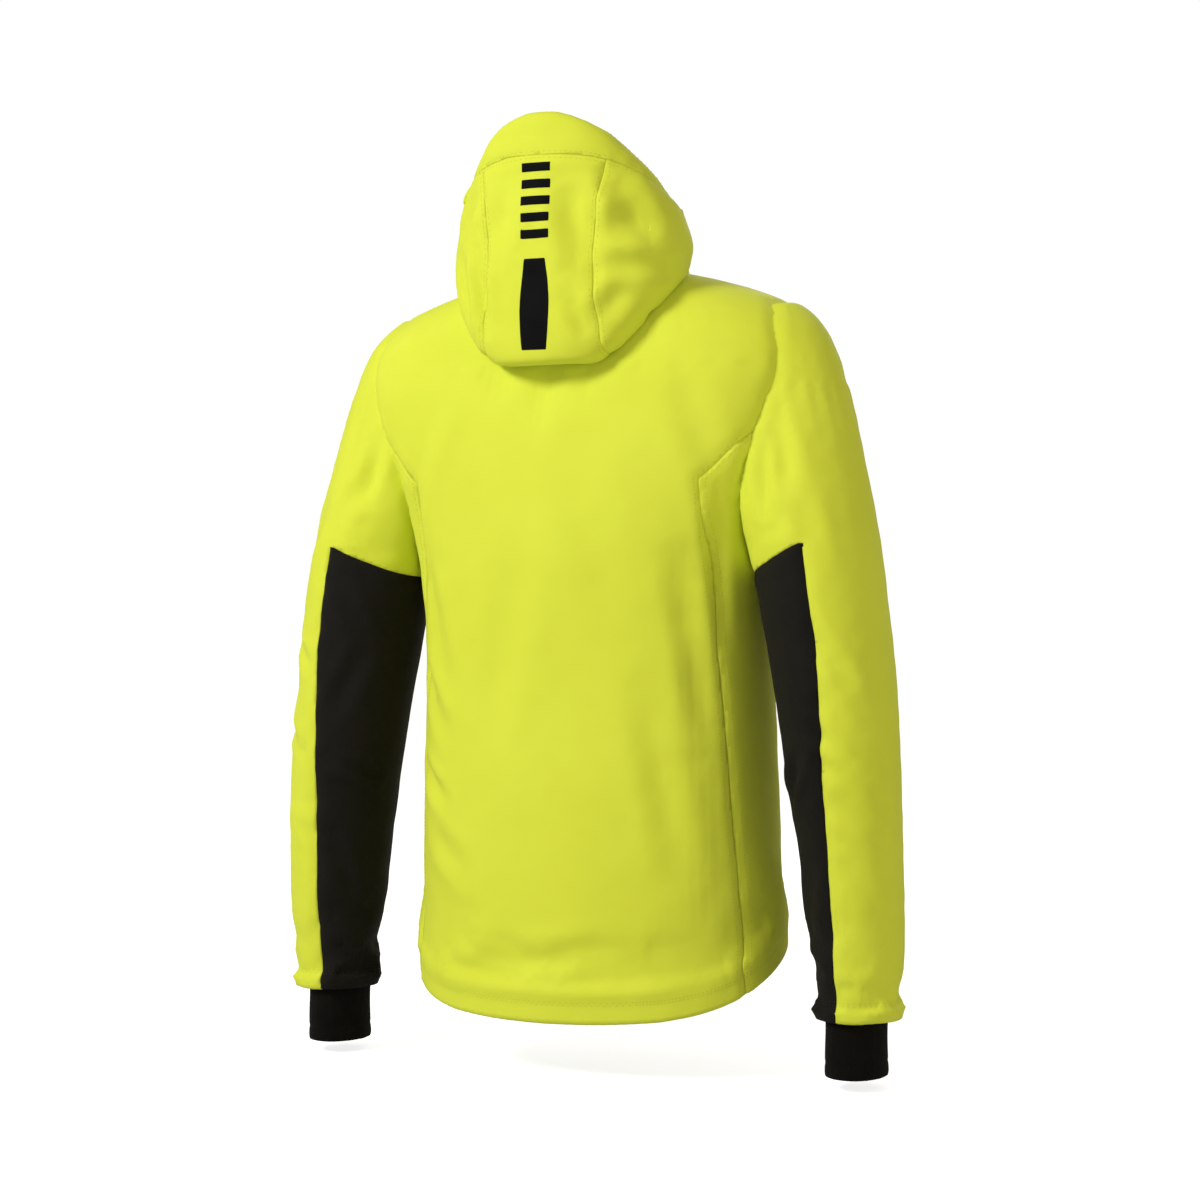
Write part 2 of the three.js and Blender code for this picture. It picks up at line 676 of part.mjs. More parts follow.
SIDES.forEach(([name, side]) => {
  const shell = sleeveSolid(side, 0, SLEEVE_HEM_Z)
    .subtract(sleeveInside(side, 0))
    .subtract(bodyInside);
  addPiece(`sleeve_cap_${name}`, shell.intersect(between(CAP_END_Z + SEAM / 2, 400)), YELLOW);
  const bands = [
    ['upper', ELBOW_Z + ELBOW_HALF + SEAM / 2, CAP_END_Z - SEAM / 2],
    ['elbow', ELBOW_Z - ELBOW_HALF + SEAM / 2, ELBOW_Z + ELBOW_HALF - SEAM / 2],
    ['forearm', SLEEVE_HEM_Z, ELBOW_Z - ELBOW_HALF - SEAM / 2],
  ];
  for (const [band, low, high] of bands) {
    const stretch = shell.intersect(between(low, high));
    addPiece(`${band}_outer_${name}`, stretch.intersect(outboard(SLEEVE_SEAM, side, SEAM / 2)), YELLOW);
    addPiece(`${band}_inner_${name}`, stretch.intersect(inboard(SLEEVE_SEAM, side, SEAM / 2)), BLACK);
  }

  // The wrist gaiter hangs from a sewn flange inside the sleeve.
  const g = GAITER;
  const [, sleeveX, sleeveY, sleeveWidth, sleeveDepth] = station(SLEEVE, SLEEVE_HEM_Z);
  const width = sleeveWidth - SLEEVE_WALL - g.roomX;
  const depth = sleeveDepth - SLEEVE_WALL - g.roomY;
  const [top, bottom] = [SLEEVE_HEM_Z + g.rise, SLEEVE_HEM_Z - g.drop];
  const wristRing = (z, grow) =>
    ring(z, side * (sleeveX - g.inX), sleeveY - g.inY, width + grow, depth + grow, 2, SLEEVE_SIDES);
  const tube = (grow, low, high) => solid(loft([low, high].map((z) => wristRing(z, grow))));
  const flange = sleeveInside(side, SEAM).intersect(between(top - g.flange, top));
  const gaiter = tube(0, bottom, top - 1)
    .add(flange)
    .subtract(tube(-g.wall, bottom - 5, top + 5));
  addPiece(`wrist_gaiter_${name}`, gaiter, KNIT);
});

// ---------------------------------------------------------------- hood

const overPlane = ({ rise, z }, clear) =>
  prismX([[-400, z - 400 * rise + clear], [400, z + 400 * rise + clear], [400, 1200], [-400, 1200]]);
const hoodShell = hoodSolid(0)
  .subtract(hoodSolid(-HOOD_WALL, INNER_SIDES).subtract(bodySolid(HOOD_CLEAR + HOOD_WALL)))
  .subtract(bodySolid(HOOD_CLEAR))
  .subtract(overPlane(MOUTH, 0))
  .subtract(collarSolid(SEAM, COLLAR_BASE_Z - 31, COLLAR_TOP_Z + 9));

function bandZone(clear) {
  const half = HOOD_BAND_HALF_WIDTH + clear;
  return cylinderX(HOOD_BAND_RADIUS + clear, -half, half, HOOD_HINGE.y, HOOD_HINGE.z, 48).add(
    box([-300, -200, 200], [300, HOOD_HINGE.y + 2 + clear, 420]),
  );
}

const hoodUpper = hoodShell.subtract(bandZone(SEAM));
const hoodLower = hoodUpper.subtract(overPlane(BRIM, -SEAM));
addPiece('hood_brim', hoodUpper.intersect(overPlane(BRIM, 0)), YELLOW);
addPiece('hood_neck_band', hoodShell.intersect(bandZone(0)), YELLOW);
let hoodCentre = hoodLower;
for (const [name, side] of SIDES) {
  addPiece(`hood_side_${name}`, hoodLower.intersect(outboard([...HOOD_SEAM].reverse(), side, SEAM / 2)), YELLOW);
  hoodCentre = hoodCentre.subtract(outboard([...HOOD_SEAM].reverse(), side, -SEAM / 2));
}
addPiece('hood_centre_panel', hoodCentre, YELLOW);

// ---------------------------------------------------------------- inside the jacket

// The snow skirt hangs inside the body and draws in towards its gripper edge.
const skirtRings = (grow) => [SKIRT.bottom, (SKIRT.bottom + SKIRT.top) / 2, SKIRT.top].map((level, i) => {
  const [z, halfWidth, back, squareness] = station(BODY, level);
  const inset = grow - BODY_WALL - SEAM - [SKIRT.drawIn, SKIRT.drawIn / 3, 0][i];
  return ring(z, 0, (frontY(z) + back) / 2, halfWidth + inset, (back - frontY(z)) / 2 + inset, squareness, INNER_SIDES);
});
const openEnds = (rings) => [
  rings[0].map((q) => q.clone().setZ(q.z - 5)), ...rings, rings[2].map((q) => q.clone().setZ(q.z + 5)),
];
const skirtFront = box([-SKIRT.frontHalf, -300, -400], [SKIRT.frontHalf, 0, 0]);
addPiece(
  'snow_skirt',
  solid(loft(skirtRings(0)))
    .subtract(solid(loft(openEnds(skirtRings(-SKIRT.wall)))))
    .subtract(skirtFront)
    .intersect(innerBody(SEAM)),
  BLACK,
);

// The hanger loop: an arched strap with two sewn feet on the collar's inner face.
function hangerLoop() {
  const { halfWidth: w, height: h, strap: t } = LOOP;
  const arch = (width, height) => [
    [-width, LOOP.z - 8], [width, LOOP.z - 8], [width, LOOP.z + height - 8],
    [width - 8, LOOP.z + height], [8 - width, LOOP.z + height], [-width, LOOP.z + height - 8],
  ];
  const strap = prismY(arch(w, h), LOOP.back, LOOP.back + LOOP.wall)
    .subtract(prismY(arch(w - t, h - t), LOOP.back - 5, LOOP.back + LOOP.wall + 5));
  const foot = (side) => box(
    [side > 0 ? w - t : -w, LOOP.back, LOOP.z - 8], [side > 0 ? w : t - w, 90, LOOP.z - 2],
  );
  const wall = bodySolid(SEAM).subtract(innerBody(SEAM))
    .subtract(collarSolid(-COLLAR_WALL - SEAM, COLLAR_BASE_Z - 51, COLLAR_BASE_Z + 49))
    .add(
      collarSolid(3, COLLAR_BASE_Z - SEAM, COLLAR_BASE_Z + 39)
        .subtract(collarSolid(-COLLAR_WALL - SEAM, COLLAR_BASE_Z - 5, COLLAR_BASE_Z + 49)),
    );
  return strap.add(foot(1)).add(foot(-1)).subtract(wall);
}
addPiece('hanger_loop', hangerLoop(), BLACK);

// Hem cord locks: a sprung barrel on a tab sewn to the inside of the hem.
for (const [name, side] of SIDES) {
  const c = CORD_LOCK;
  const x = side * c.x;
  const [, halfWidth, back] = station(BODY, c.z);
  const share = Math.sqrt(1 - (c.x / halfWidth) ** 2);
  const y = (frontY(c.z) + back) / 2 - ((back - frontY(c.z)) / 2) * share + BODY_WALL + c.radius + c.inset;
  const bore = cylinderZ(c.button + 0.4, x, y, c.z + c.height - 9, c.z + c.height + 20);
  const tab = box([x - 4, y - 40, c.z + 1], [x + 4, y, c.z + 6]).intersect(
    innerBody(SEAM),
  );
  addPiece(`hem_cord_lock_${name}`, cylinderZ(c.radius, x, y, c.z, c.z + c.height).add(tab).subtract(bore), PLASTIC);
  addPiece(
    `hem_cord_button_${name}`,
    cylinderZ(c.button, x, y, c.z + c.height - 5, c.z + c.height + c.buttonHeight),
    PLASTIC,
  );
}

const jacket = new THREE.Group();
jacket.add(garment);

export default jacket;
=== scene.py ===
# %% [markdown]
# # A padded ski jacket
# The jacket stands as it is worn. Its cloth is a thin padded wall, so each panel starts as a
# copy of its plain solid, gets an even skin of small quads, is smoothed, and is then creased
# like cloth. The solids give the places, and this script gives the looks.

# %% Load the frame
import json
import math

import bmesh
import bpy
import numpy as np
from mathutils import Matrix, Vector
from mathutils.bvhtree import BVHTree
from mathutils.kdtree import KDTree


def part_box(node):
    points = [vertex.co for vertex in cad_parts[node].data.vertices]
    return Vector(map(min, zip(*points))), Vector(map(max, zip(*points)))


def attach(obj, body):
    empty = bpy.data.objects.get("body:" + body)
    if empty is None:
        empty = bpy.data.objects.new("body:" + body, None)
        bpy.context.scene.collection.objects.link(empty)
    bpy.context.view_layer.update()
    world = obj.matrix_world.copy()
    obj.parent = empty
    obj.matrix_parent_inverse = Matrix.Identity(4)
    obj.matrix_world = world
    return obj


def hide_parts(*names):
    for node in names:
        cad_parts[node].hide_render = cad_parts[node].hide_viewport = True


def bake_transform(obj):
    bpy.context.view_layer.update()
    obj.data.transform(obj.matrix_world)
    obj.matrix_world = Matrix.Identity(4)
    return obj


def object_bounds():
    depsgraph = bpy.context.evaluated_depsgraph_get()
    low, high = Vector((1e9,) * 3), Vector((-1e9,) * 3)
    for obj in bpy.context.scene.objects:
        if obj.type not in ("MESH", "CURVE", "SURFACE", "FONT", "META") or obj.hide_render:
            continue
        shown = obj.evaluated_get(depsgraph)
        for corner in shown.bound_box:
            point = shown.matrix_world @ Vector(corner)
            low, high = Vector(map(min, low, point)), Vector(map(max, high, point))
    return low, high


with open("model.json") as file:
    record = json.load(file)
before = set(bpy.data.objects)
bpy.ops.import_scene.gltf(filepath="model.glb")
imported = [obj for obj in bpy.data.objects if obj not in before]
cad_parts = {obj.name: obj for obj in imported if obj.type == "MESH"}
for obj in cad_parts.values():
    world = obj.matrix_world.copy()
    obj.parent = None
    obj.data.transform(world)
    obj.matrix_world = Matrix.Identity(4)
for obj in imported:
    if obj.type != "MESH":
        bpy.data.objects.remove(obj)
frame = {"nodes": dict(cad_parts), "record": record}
cad_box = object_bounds()
MM = 0.001
SIDES = (("left", 1), ("right", -1))
JOINTS = {joint["name"]: joint for joint in frame["record"]["behaviour"]["joints"]}

# %% [markdown]
# The camera comes first, because the view decides where detail is worth its faces. It stands
# level, behind the wearer and a little to their right, with a long lens that flattens depth.

# %% Camera
AXIS = Vector((0, -54.1, -334)) * MM  # middle of the jacket, seen from its hanger loop
CAMERA_TURN = math.radians(205)
CAMERA_AWAY = 2.83


def add_camera():
    data = bpy.data.cameras.new("camera")
    data.lens = 85
    camera = bpy.data.objects.new("camera", data)
    away = Vector((math.sin(CAMERA_TURN), -math.cos(CAMERA_TURN), 0))
    camera.location = AXIS + away * CAMERA_AWAY
    camera.rotation_euler = (-away).to_track_quat("-Z", "Y").to_euler()
    bpy.context.scene.collection.objects.link(camera)
    bpy.context.scene.camera = camera
    print("camera at", [round(v, 3) for v in camera.location])


add_camera()

# %% [markdown]
# Materials are node trees. A cloth's colour is nearly even, so what makes it read as cloth is
# fine relief: a weave of crossed waves, a crumple of soft noise, and a sheen at grazing angles.
# Every pattern reads Object coordinates, so it stays put when the jacket is posed.


# %% Cloth material
def new_material(name, **sockets):
    material = bpy.data.materials.new(name)
    material.use_nodes = True
    shader = material.node_tree.nodes["Principled BSDF"]
    for socket, value in sockets.items():
        shader.inputs[socket.replace("_", " ")].default_value = value
    return material, material.node_tree, shader


def link(tree, source, target):
    tree.links.new(source, target)


def noise_node(tree, coordinates, scale, detail=3, stretch=(1, 1, 1)):
    mapping = tree.nodes.new("ShaderNodeMapping")
    mapping.inputs["Scale"].default_value = stretch
    link(tree, coordinates, mapping.inputs["Vector"])
    node = tree.nodes.new("ShaderNodeTexNoise")
    node.inputs["Scale"].default_value = scale
    node.inputs["Detail"].default_value = detail
    link(tree, mapping.outputs["Vector"], node.inputs["Vector"])
    return node.outputs["Fac"]


def wave_node(tree, coordinates, scale, direction):
    node = tree.nodes.new("ShaderNodeTexWave")
    node.bands_direction = direction
    node.inputs["Scale"].default_value = scale
    node.inputs["Distortion"].default_value = 0.6
    node.inputs["Detail Scale"].default_value = 0.5
    link(tree, coordinates, node.inputs["Vector"])
    return node.outputs["Fac"]


def bumped(tree, height, distance, strength, normal=None):
    node = tree.nodes.new("ShaderNodeBump")
    node.inputs["Distance"].default_value = distance
    node.inputs["Strength"].default_value = strength
    link(tree, height, node.inputs["Height"])
    if normal is not None:
        link(tree, normal, node.inputs["Normal"])
    return node.outputs["Normal"]


def mixed_colour(tree, factor, low, high, colour_low, colour_high):
    ramp = tree.nodes.new("ShaderNodeValToRGB")
    ramp.color_ramp.elements[0].position = low
    ramp.color_ramp.elements[1].position = high
    ramp.color_ramp.elements[0].color = (*colour_low, 1)
    ramp.color_ramp.elements[1].color = (*colour_high, 1)
    link(tree, factor, ramp.inputs["Fac"])
    return ramp.outputs["Color"]


def cloth_material(name, dark, light, rough, sheen, weave=1400, crumple=0.5, specular=0.35):
    material, tree, shader = new_material(
        name, Roughness=rough, Sheen_Weight=sheen, Sheen_Roughness=0.5, Specular_IOR_Level=specular
    )
    place = tree.nodes.new("ShaderNodeTexCoord").outputs["Object"]
    patches = noise_node(tree, place, 9, 4)
    link(tree, mixed_colour(tree, patches, 0.3, 0.7, dark, light), shader.inputs["Base Color"])
    warp = wave_node(tree, place, weave, "X")
    weft = wave_node(tree, place, weave, "Z")
    cross = tree.nodes.new("ShaderNodeMath")
    cross.operation = "MAXIMUM"
    link(tree, warp, cross.inputs[0])
    link(tree, weft, cross.inputs[1])
    normal = bumped(tree, noise_node(tree, place, 38, 5), 0.004, 0.25 * crumple)
    normal = bumped(tree, noise_node(tree, place, 150, 3), 0.001, 0.3 * crumple, normal)
    normal = bumped(tree, cross.outputs["Value"], 0.00012, 0.5, normal)
    link(tree, normal, shader.inputs["Normal"])
    return material


LIME = cloth_material(
    "lime_shell", (0.69, 0.765, 0.046), (0.73, 0.81, 0.056), 0.66, 0.05, specular=0.18
)
STRETCH = cloth_material(
    "stretch_black", (0.0062, 0.0052, 0.0045), (0.0086, 0.0074, 0.0064), 0.75, 0.02, 1800, 0.7, 0.12
)
TAFFETA = cloth_material("black_taffeta", (0.008, 0.008, 0.008), (0.014, 0.014, 0.014), 0.6, 0.05)
BRUSHED = cloth_material("brushed_lining", (0.02, 0.021, 0.024), (0.034, 0.035, 0.04), 0.9, 0.4, 900, 1)
TAPE = cloth_material("zip_tape", (0.007, 0.007, 0.007), (0.012, 0.012, 0.012), 0.75, 0.1, 2400, 0.4)
print("cloths: 5")


# %% Knit, thread, print, metal and plastic
def knit_material():
    material, tree, shader = new_material(
        "gaiter_knit", Roughness=0.9, Sheen_Weight=0.02, Sheen_Roughness=0.6, Specular_IOR_Level=0.06
    )
    place = tree.nodes.new("ShaderNodeTexCoord").outputs["Object"]
    tint = noise_node(tree, place, 60, 3)
    link(
        tree,
        mixed_colour(tree, tint, 0.3, 0.7, (0.0032, 0.0026, 0.0022), (0.0052, 0.0044, 0.0036)),
        shader.inputs["Base Color"],
    )
    courses = wave_node(tree, place, 320, "Z")
    normal = bumped(tree, courses, 0.0003, 0.6)
    normal = bumped(tree, noise_node(tree, place, 900, 2, (3, 3, 1)), 0.0003, 0.5, normal)
    link(tree, normal, shader.inputs["Normal"])
    return material


def hard_material(name, dark, light, rough, metallic, grain, specular=0.5):
    material, tree, shader = new_material(name, Metallic=metallic, Specular_IOR_Level=specular)
    place = tree.nodes.new("ShaderNodeTexCoord").outputs["Object"]
    wear = noise_node(tree, place, grain, 4)
    link(tree, mixed_colour(tree, wear, 0.35, 0.7, dark, light), shader.inputs["Base Color"])
    spread = tree.nodes.new("ShaderNodeMapRange")
    spread.inputs["To Min"].default_value = rough - 0.08
    spread.inputs["To Max"].default_value = rough + 0.1
    link(tree, wear, spread.inputs["Value"])
    link(tree, spread.outputs["Result"], shader.inputs["Roughness"])
    normal = bumped(tree, noise_node(tree, place, grain * 9, 2), 0.0001, 0.3)
    link(tree, normal, shader.inputs["Normal"])
    return material


KNIT = knit_material()
THREAD = hard_material("lime_thread", (0.46, 0.53, 0.04), (0.54, 0.61, 0.05), 0.6, 0, 700)
BLACK_THREAD = hard_material("black_thread", (0.006, 0.006, 0.006), (0.012, 0.012, 0.012), 0.6, 0, 700)
PRINT = hard_material(
    "black_print", (0.0012, 0.0012, 0.0016), (0.0024, 0.0024, 0.003), 0.7, 0, 300, 0.08
)
GUNMETAL = hard_material("gunmetal", (0.05, 0.05, 0.055), (0.10, 0.10, 0.105), 0.34, 1, 240)
ACETAL = hard_material("black_acetal", (0.010, 0.010, 0.010), (0.018, 0.018, 0.018), 0.42, 0, 300)
TEETH = hard_material("black_teeth", (0.008, 0.008, 0.008), (0.016, 0.016, 0.016), 0.38, 0, 500)
print("hard finishes: 7")

# %% [markdown]
# The body, the sleeves and the hood each start as a net: an even sheet of small quads laid on
# the outside of the solids by rays from the garment's middle. Where a ray finds nothing, at a
# slot or an armhole, the net is carried across as a soap film would be, so that one cloth can
# run under another at their seam. A blur takes away the flats of the solids.


# %% Nets laid on the solids
def add_object(name, mesh, material=None):
    piece = bpy.data.objects.new(name, mesh)
    bpy.context.scene.collection.objects.link(piece)
    if material:
        mesh.materials.clear()
        mesh.materials.append(material)
    return piece


def merged_copy(nodes):
    bm = bmesh.new()
    for node in nodes:
        bm.from_mesh(frame["nodes"][node].data)
    bmesh.ops.remove_doubles(bm, verts=bm.verts, dist=1e-6)
    return bm


def solid_tree(nodes):
    bm = merged_copy(nodes)
    tree = BVHTree.FromBMesh(bm)
    bm.free()
    return tree


def to_mesh(bm, name):
    mesh = bpy.data.meshes.new(name)
    bm.to_mesh(mesh)
    bm.free()
    return mesh


def at(x, y, z):
    """A point in millimetres from the jacket's axis."""
    return Vector((x, y, z)) * MM + AXIS


def outside_reach(tree, middle, out, reach):
    """How far the outer face of a solid lies from its middle, or nan where there is none."""
    hit, normal, _, _ = tree.ray_cast(middle + out * reach, -out, reach)
    return (hit - middle).dot(out) if hit and normal.dot(out) > 0.2 else float("nan")


def soap_film(values):
    """Fills the gaps in a wrapped table of values with the smoothest cover."""
    gap = np.isnan(values)
    values = np.where(gap, np.nanmean(values, axis=1, keepdims=True), values)
    for _ in range(1500):
        above = np.vstack([values[:1], values[:-1]])
        below = np.vstack([values[1:], values[-1:]])
        mean = (np.roll(values, 1, 1) + np.roll(values, -1, 1) + above + below) / 4
        values = np.where(gap, mean, values)
    return values


def lay_net(tree, heights, centre, reach, hide=None):
    """Points of a tubular net, one row for each height, from rays that run level."""
    rows, columns = heights.shape
    reaches = np.empty(heights.shape)
    turns = [2 * math.pi * (c + 0.5) / columns for c in range(columns)]
    outs = [Vector((math.cos(turn), math.sin(turn), 0)) for turn in turns]
    for r in range(rows):
        for c, out in enumerate(outs):
            found = outside_reach(tree, centre(heights[r, c]), out, reach)
            if hide and found == found and hide(centre(heights[r, c]) + out * found):
                found = float("nan")
            reaches[r, c] = found
    reaches = soap_film(reaches)
    points = np.empty((rows, columns, 3))
    for r in range(rows):
        for c, out in enumerate(outs):
            points[r, c] = centre(heights[r, c]) + out * reaches[r, c]
    return points


def tube_bmesh(points):
    """A tube of quads through a wrapped table of points."""
    rows, columns, _ = points.shape
    bm = bmesh.new()
    bmesh.ops.create_grid(bm, x_segments=columns, y_segments=rows - 1, size=1)
    grid = sorted(bm.verts, key=lambda v: (round(v.co.y, 6), v.co.x))
    for i, vert in enumerate(grid):
        vert.co = points[i // (columns + 1), (i % (columns + 1)) % columns]
    bmesh.ops.remove_doubles(bm, verts=bm.verts, dist=1e-6)
    bmesh.ops.recalc_face_normals(bm, faces=bm.faces)
    bm.verts.ensure_lookup_table()
    bm.verts.index_update()
    return bm


def points_in(bm):
    return np.array([v.co for v in bm.verts])


def put_points(bm, points):
    for vert, point in zip(bm.verts, points):
        vert.co = point
    bm.normal_update()


def blur_net(bm, rounds, free=1.0):
    """Softens a net twice over, so that it loses its flats and keeps its girth."""
    bm.verts.index_update()
    pairs = []
    for edge in bm.edges:
        a, b = edge.verts
        if edge.is_boundary or not a.is_boundary:
            pairs.append((a.index, b.index))
        if edge.is_boundary or not b.is_boundary:
            pairs.append((b.index, a.index))
    i, j = np.array(pairs).T
    near = np.bincount(i)

    def blur(values):
        for _ in range(rounds):
            mean = np.stack([np.bincount(i, values[j, k]) for k in range(3)], 1) / near[:, None]
            values = values + 0.5 * (mean - values)
        return values

    points = points_in(bm)
    soft = blur(points)
    soft += blur(points - soft)
    put_points(bm, points + (soft - points) * free)


# %% [markdown]
# The cloth's own slack shapes its folds. A coarse copy of a net is run as cloth that is a few
# percent too long for its two pinned ends, with a little air inside, so it buckles into the
# soft rolls of a padded garment. What each point moved is then handed on to the net.


# %% Cloth simulation
def simulate_tube(name, points, slack, pressure, bending, frames, cap):
    rest = points_in(tube_bmesh(points))
    tube = add_object(name, to_mesh(tube_bmesh(points), name))
    ends = np.vstack([points[0], points[-1]])
    pins = [i for i, p in enumerate(rest) if np.abs(ends - p).sum(axis=1).min() < 1e-5]
    tube.vertex_groups.new(name="pinned").add(pins, 1, "REPLACE")
    cloth = tube.modifiers.new("cloth", "CLOTH")
    settings = cloth.settings
    settings.quality = 6
    settings.mass = 0.2
    settings.tension_stiffness = 12
    settings.compression_stiffness = 12
    settings.shear_stiffness = 5
    settings.bending_stiffness = bending
    settings.vertex_group_mass = "pinned"
    settings.shrink_min = -slack
    settings.use_pressure = True
    settings.uniform_pressure_force = pressure
    settings.effector_weights.gravity = 0.15
    cloth.collision_settings.use_collision = False
    for step in range(1, frames + 1):
        bpy.context.scene.frame_set(step)
    mesh = tube.evaluated_get(bpy.context.evaluated_depsgraph_get()).data
    moved = np.array([v.co for v in mesh.vertices])
    bpy.context.scene.frame_set(1)
    bpy.data.objects.remove(tube)
    shift = moved - rest
    length = np.linalg.norm(shift, axis=1, keepdims=True) + 1e-9
    shift *= np.minimum(1, cap / length)
    print(name, "simulated:", len(rest), "points, up to", round(float(length.max()) / MM, 1), "mm")
    return rest, shift


def hand_over(bm, rest, shift, amount=1.0):
    """Moves a net by what a coarse cloth moved beside it."""
    tree = KDTree(len(rest))
    for i, point in enumerate(rest):
        tree.insert(point, i)
    tree.balance()
    points = points_in(bm)
    for v, point in enumerate(points.copy()):
        found = tree.find_n(point, 6)
        weights = [1 / (distance + 0.003) ** 2 for _, _, distance in found]
        move = sum(w * shift[j] for w, (_, j, _) in zip(weights, found)) / sum(weights)
        points[v] += amount * move
    put_points(bm, points)


# %% [markdown]
# Cloth pulled from one point makes a drag line: a groove with a low ridge along each side. The
# same stroke, with its own ends, depth and width, makes the crease at an elbow, the dents in
# the hood and the puckers along a seam.


# %% Strokes, crumple and seams
def crease(points, start, end, depth, width):
    start, end = np.array(at(*start)), np.array(at(*end))
    line = end - start
    along = np.clip(((points - start) @ line) / (line @ line), 0, 1)
    gap = np.linalg.norm(points - start - along[:, None] * line, axis=1) / (width * MM)
    fade = np.sin(math.pi * np.clip(along * 0.92 + 0.04, 0, 1)) ** 0.6
    groove = -np.exp(-gap * gap) + 0.42 * np.exp(-((gap - 1.9) ** 2) / 0.7)
    return groove * fade * depth * MM


def crumple(points, amount, size, seed, stretch=(1, 1, 1)):
    """Soft uneven relief: a sum of waves that run in seeded directions."""
    chance = np.random.default_rng(seed)
    place = points * np.array(stretch) / (size * MM)
    total = np.zeros(len(points))
    for _ in range(14):
        way = chance.normal(size=3)
        total += np.sin(place @ way * 1.9 + chance.uniform(0, 6.28)) * chance.uniform(0.3, 1)
    return total * amount * MM / 4


def push_net(bm, push):
    for vert, amount in zip(list(bm.verts), push):
        vert.co += vert.normal * amount
    bm.normal_update()


FOLD_GAIN = 1.9


def sculpt(bm, strokes, *reliefs):
    points = points_in(bm)
    push = sum(crease(points, *stroke) for stroke in strokes) * FOLD_GAIN
    push = push + sum(crumple(points, *relief) for relief in reliefs)
    push_net(bm, push)


SEWN, TURNED, HIDDEN = 1, 2, 3


def edge_layer(bm):
    return bm.verts.layers.int.get("edge") or bm.verts.layers.int.new("edge")


def cut_along(bm, values, kind):
    """Cuts new edges where a value of the points changes sign, and marks their corners."""
    layer = edge_layer(bm)
    values = list(values)
    bm.verts.index_update()
    bm.verts.ensure_lookup_table()
    corners = set()
    for near_only in (True, False):
        for edge in list(bm.edges):
            a, b = edge.verts
            if a.index < 0 or b.index < 0:
                continue
            va, vb = values[a.index], values[b.index]
            if va * vb >= 0:
                continue
            share = va / (va - vb)
            if near_only and 0.2 < share < 0.8:
                continue
            if near_only:
                corner = a if share < 0.5 else b
                corner.co = a.co.lerp(b.co, share)
                values[corner.index] = 0.0
            else:
                corner = bmesh.utils.edge_split(edge, a, share)[1]
                corner.index = -1
            corners.add(corner)
    bmesh.ops.connect_verts(bm, verts=list(corners))
    for corner in corners:
        corner[layer] = kind
    bm.verts.ensure_lookup_table()
    bm.verts.index_update()
    bm.normal_update()
    return corners


def drop_faces(bm, rule):
    """Takes away the faces whose middle the rule finds."""
    bm.faces.ensure_lookup_table()
    gone = rule(np.array([f.calc_center_median() for f in bm.faces]))
    bmesh.ops.delete(bm, geom=[f for f, drop in zip(list(bm.faces), gone) if drop], context="FACES")
    bm.verts.ensure_lookup_table()
    bm.verts.index_update()


def sink_seams(bm, depth, extra=()):
    """Draws the cloth in along its sewn seams, unevenly, as thread does with padding."""
    layer = edge_layer(bm)
    seam = [v.co.copy() for v in bm.verts if v[layer] == SEWN] + list(extra)
    tree = KDTree(len(seam))
    for i, point in enumerate(seam):
        tree.insert(point, i)
    tree.balance()
    points = points_in(bm)
    gap = np.array([tree.find(point)[2] for point in points]) / MM
    pucker = 1 + 0.45 * crumple(points, 1 / MM, 9, 3) * 1.6
    push = -0.55 * np.exp(-((gap / 1.8) ** 2)) - pucker * 0.75 * np.exp(-((gap / 6) ** 2))
    push += 0.35 * np.exp(-(((gap - 11) / 5) ** 2))
    push_net(bm, push * depth * MM)


def signed_gap(tree, points):
    """How far points lie outside a surface, and below nought inside it."""
    gaps = np.empty(len(points))
    for i, point in enumerate(points):
        near, normal, _, distance = tree.find_nearest(point)
        gaps[i] = math.copysign(distance, (Vector(point) - near).dot(normal))
    return gaps


def give_wall(bm, wall):
    """Turns a sheet into a padded wall, with a round edge where the cloth is turned."""
    layer = edge_layer(bm)
    shade = bm.verts.layers.float_vector.get("shade")
    bm.normal_update()
    outer = list(bm.verts)
    rim = [e.link_loops[0] for e in bm.edges if e.is_boundary]
    rim = [(loop.vert, loop.link_loop_next.vert) for loop in rim]
    made = bmesh.ops.duplicate(bm, geom=bm.verts[:] + bm.edges[:] + bm.faces[:])
    twin = made["vert_map"]
    for vert in outer:
        twin[vert].co = vert.co - vert.normal * wall
        if shade:
            twin[vert][shade] = (0, 0, 0)
            if vert[layer] != HIDDEN:
                vert[shade] = (0, 0, 0)
    inner = [f for f in made["geom"] if isinstance(f, bmesh.types.BMFace)]
    bmesh.ops.reverse_faces(bm, faces=inner)
    across = set()
    for a, b in rim:
        if a[layer] == HIDDEN and b[layer] == HIDDEN:
            continue
        face = bm.faces.new((b, a, twin[a], twin[b]))
        if a[layer] == TURNED and b[layer] == TURNED:
            across.update(e for e in face.edges if (twin.get(e.verts[0]) == e.verts[1]))
    if across:
        cut = bmesh.ops.subdivide_edges(bm, edges=list(across), cuts=2)
        fresh = [v for v in cut["geom_inner"] if isinstance(v, bmesh.types.BMVert)]
        bm.normal_update()
        for vert in fresh:
            vert.co += vert.normal * wall * 0.22


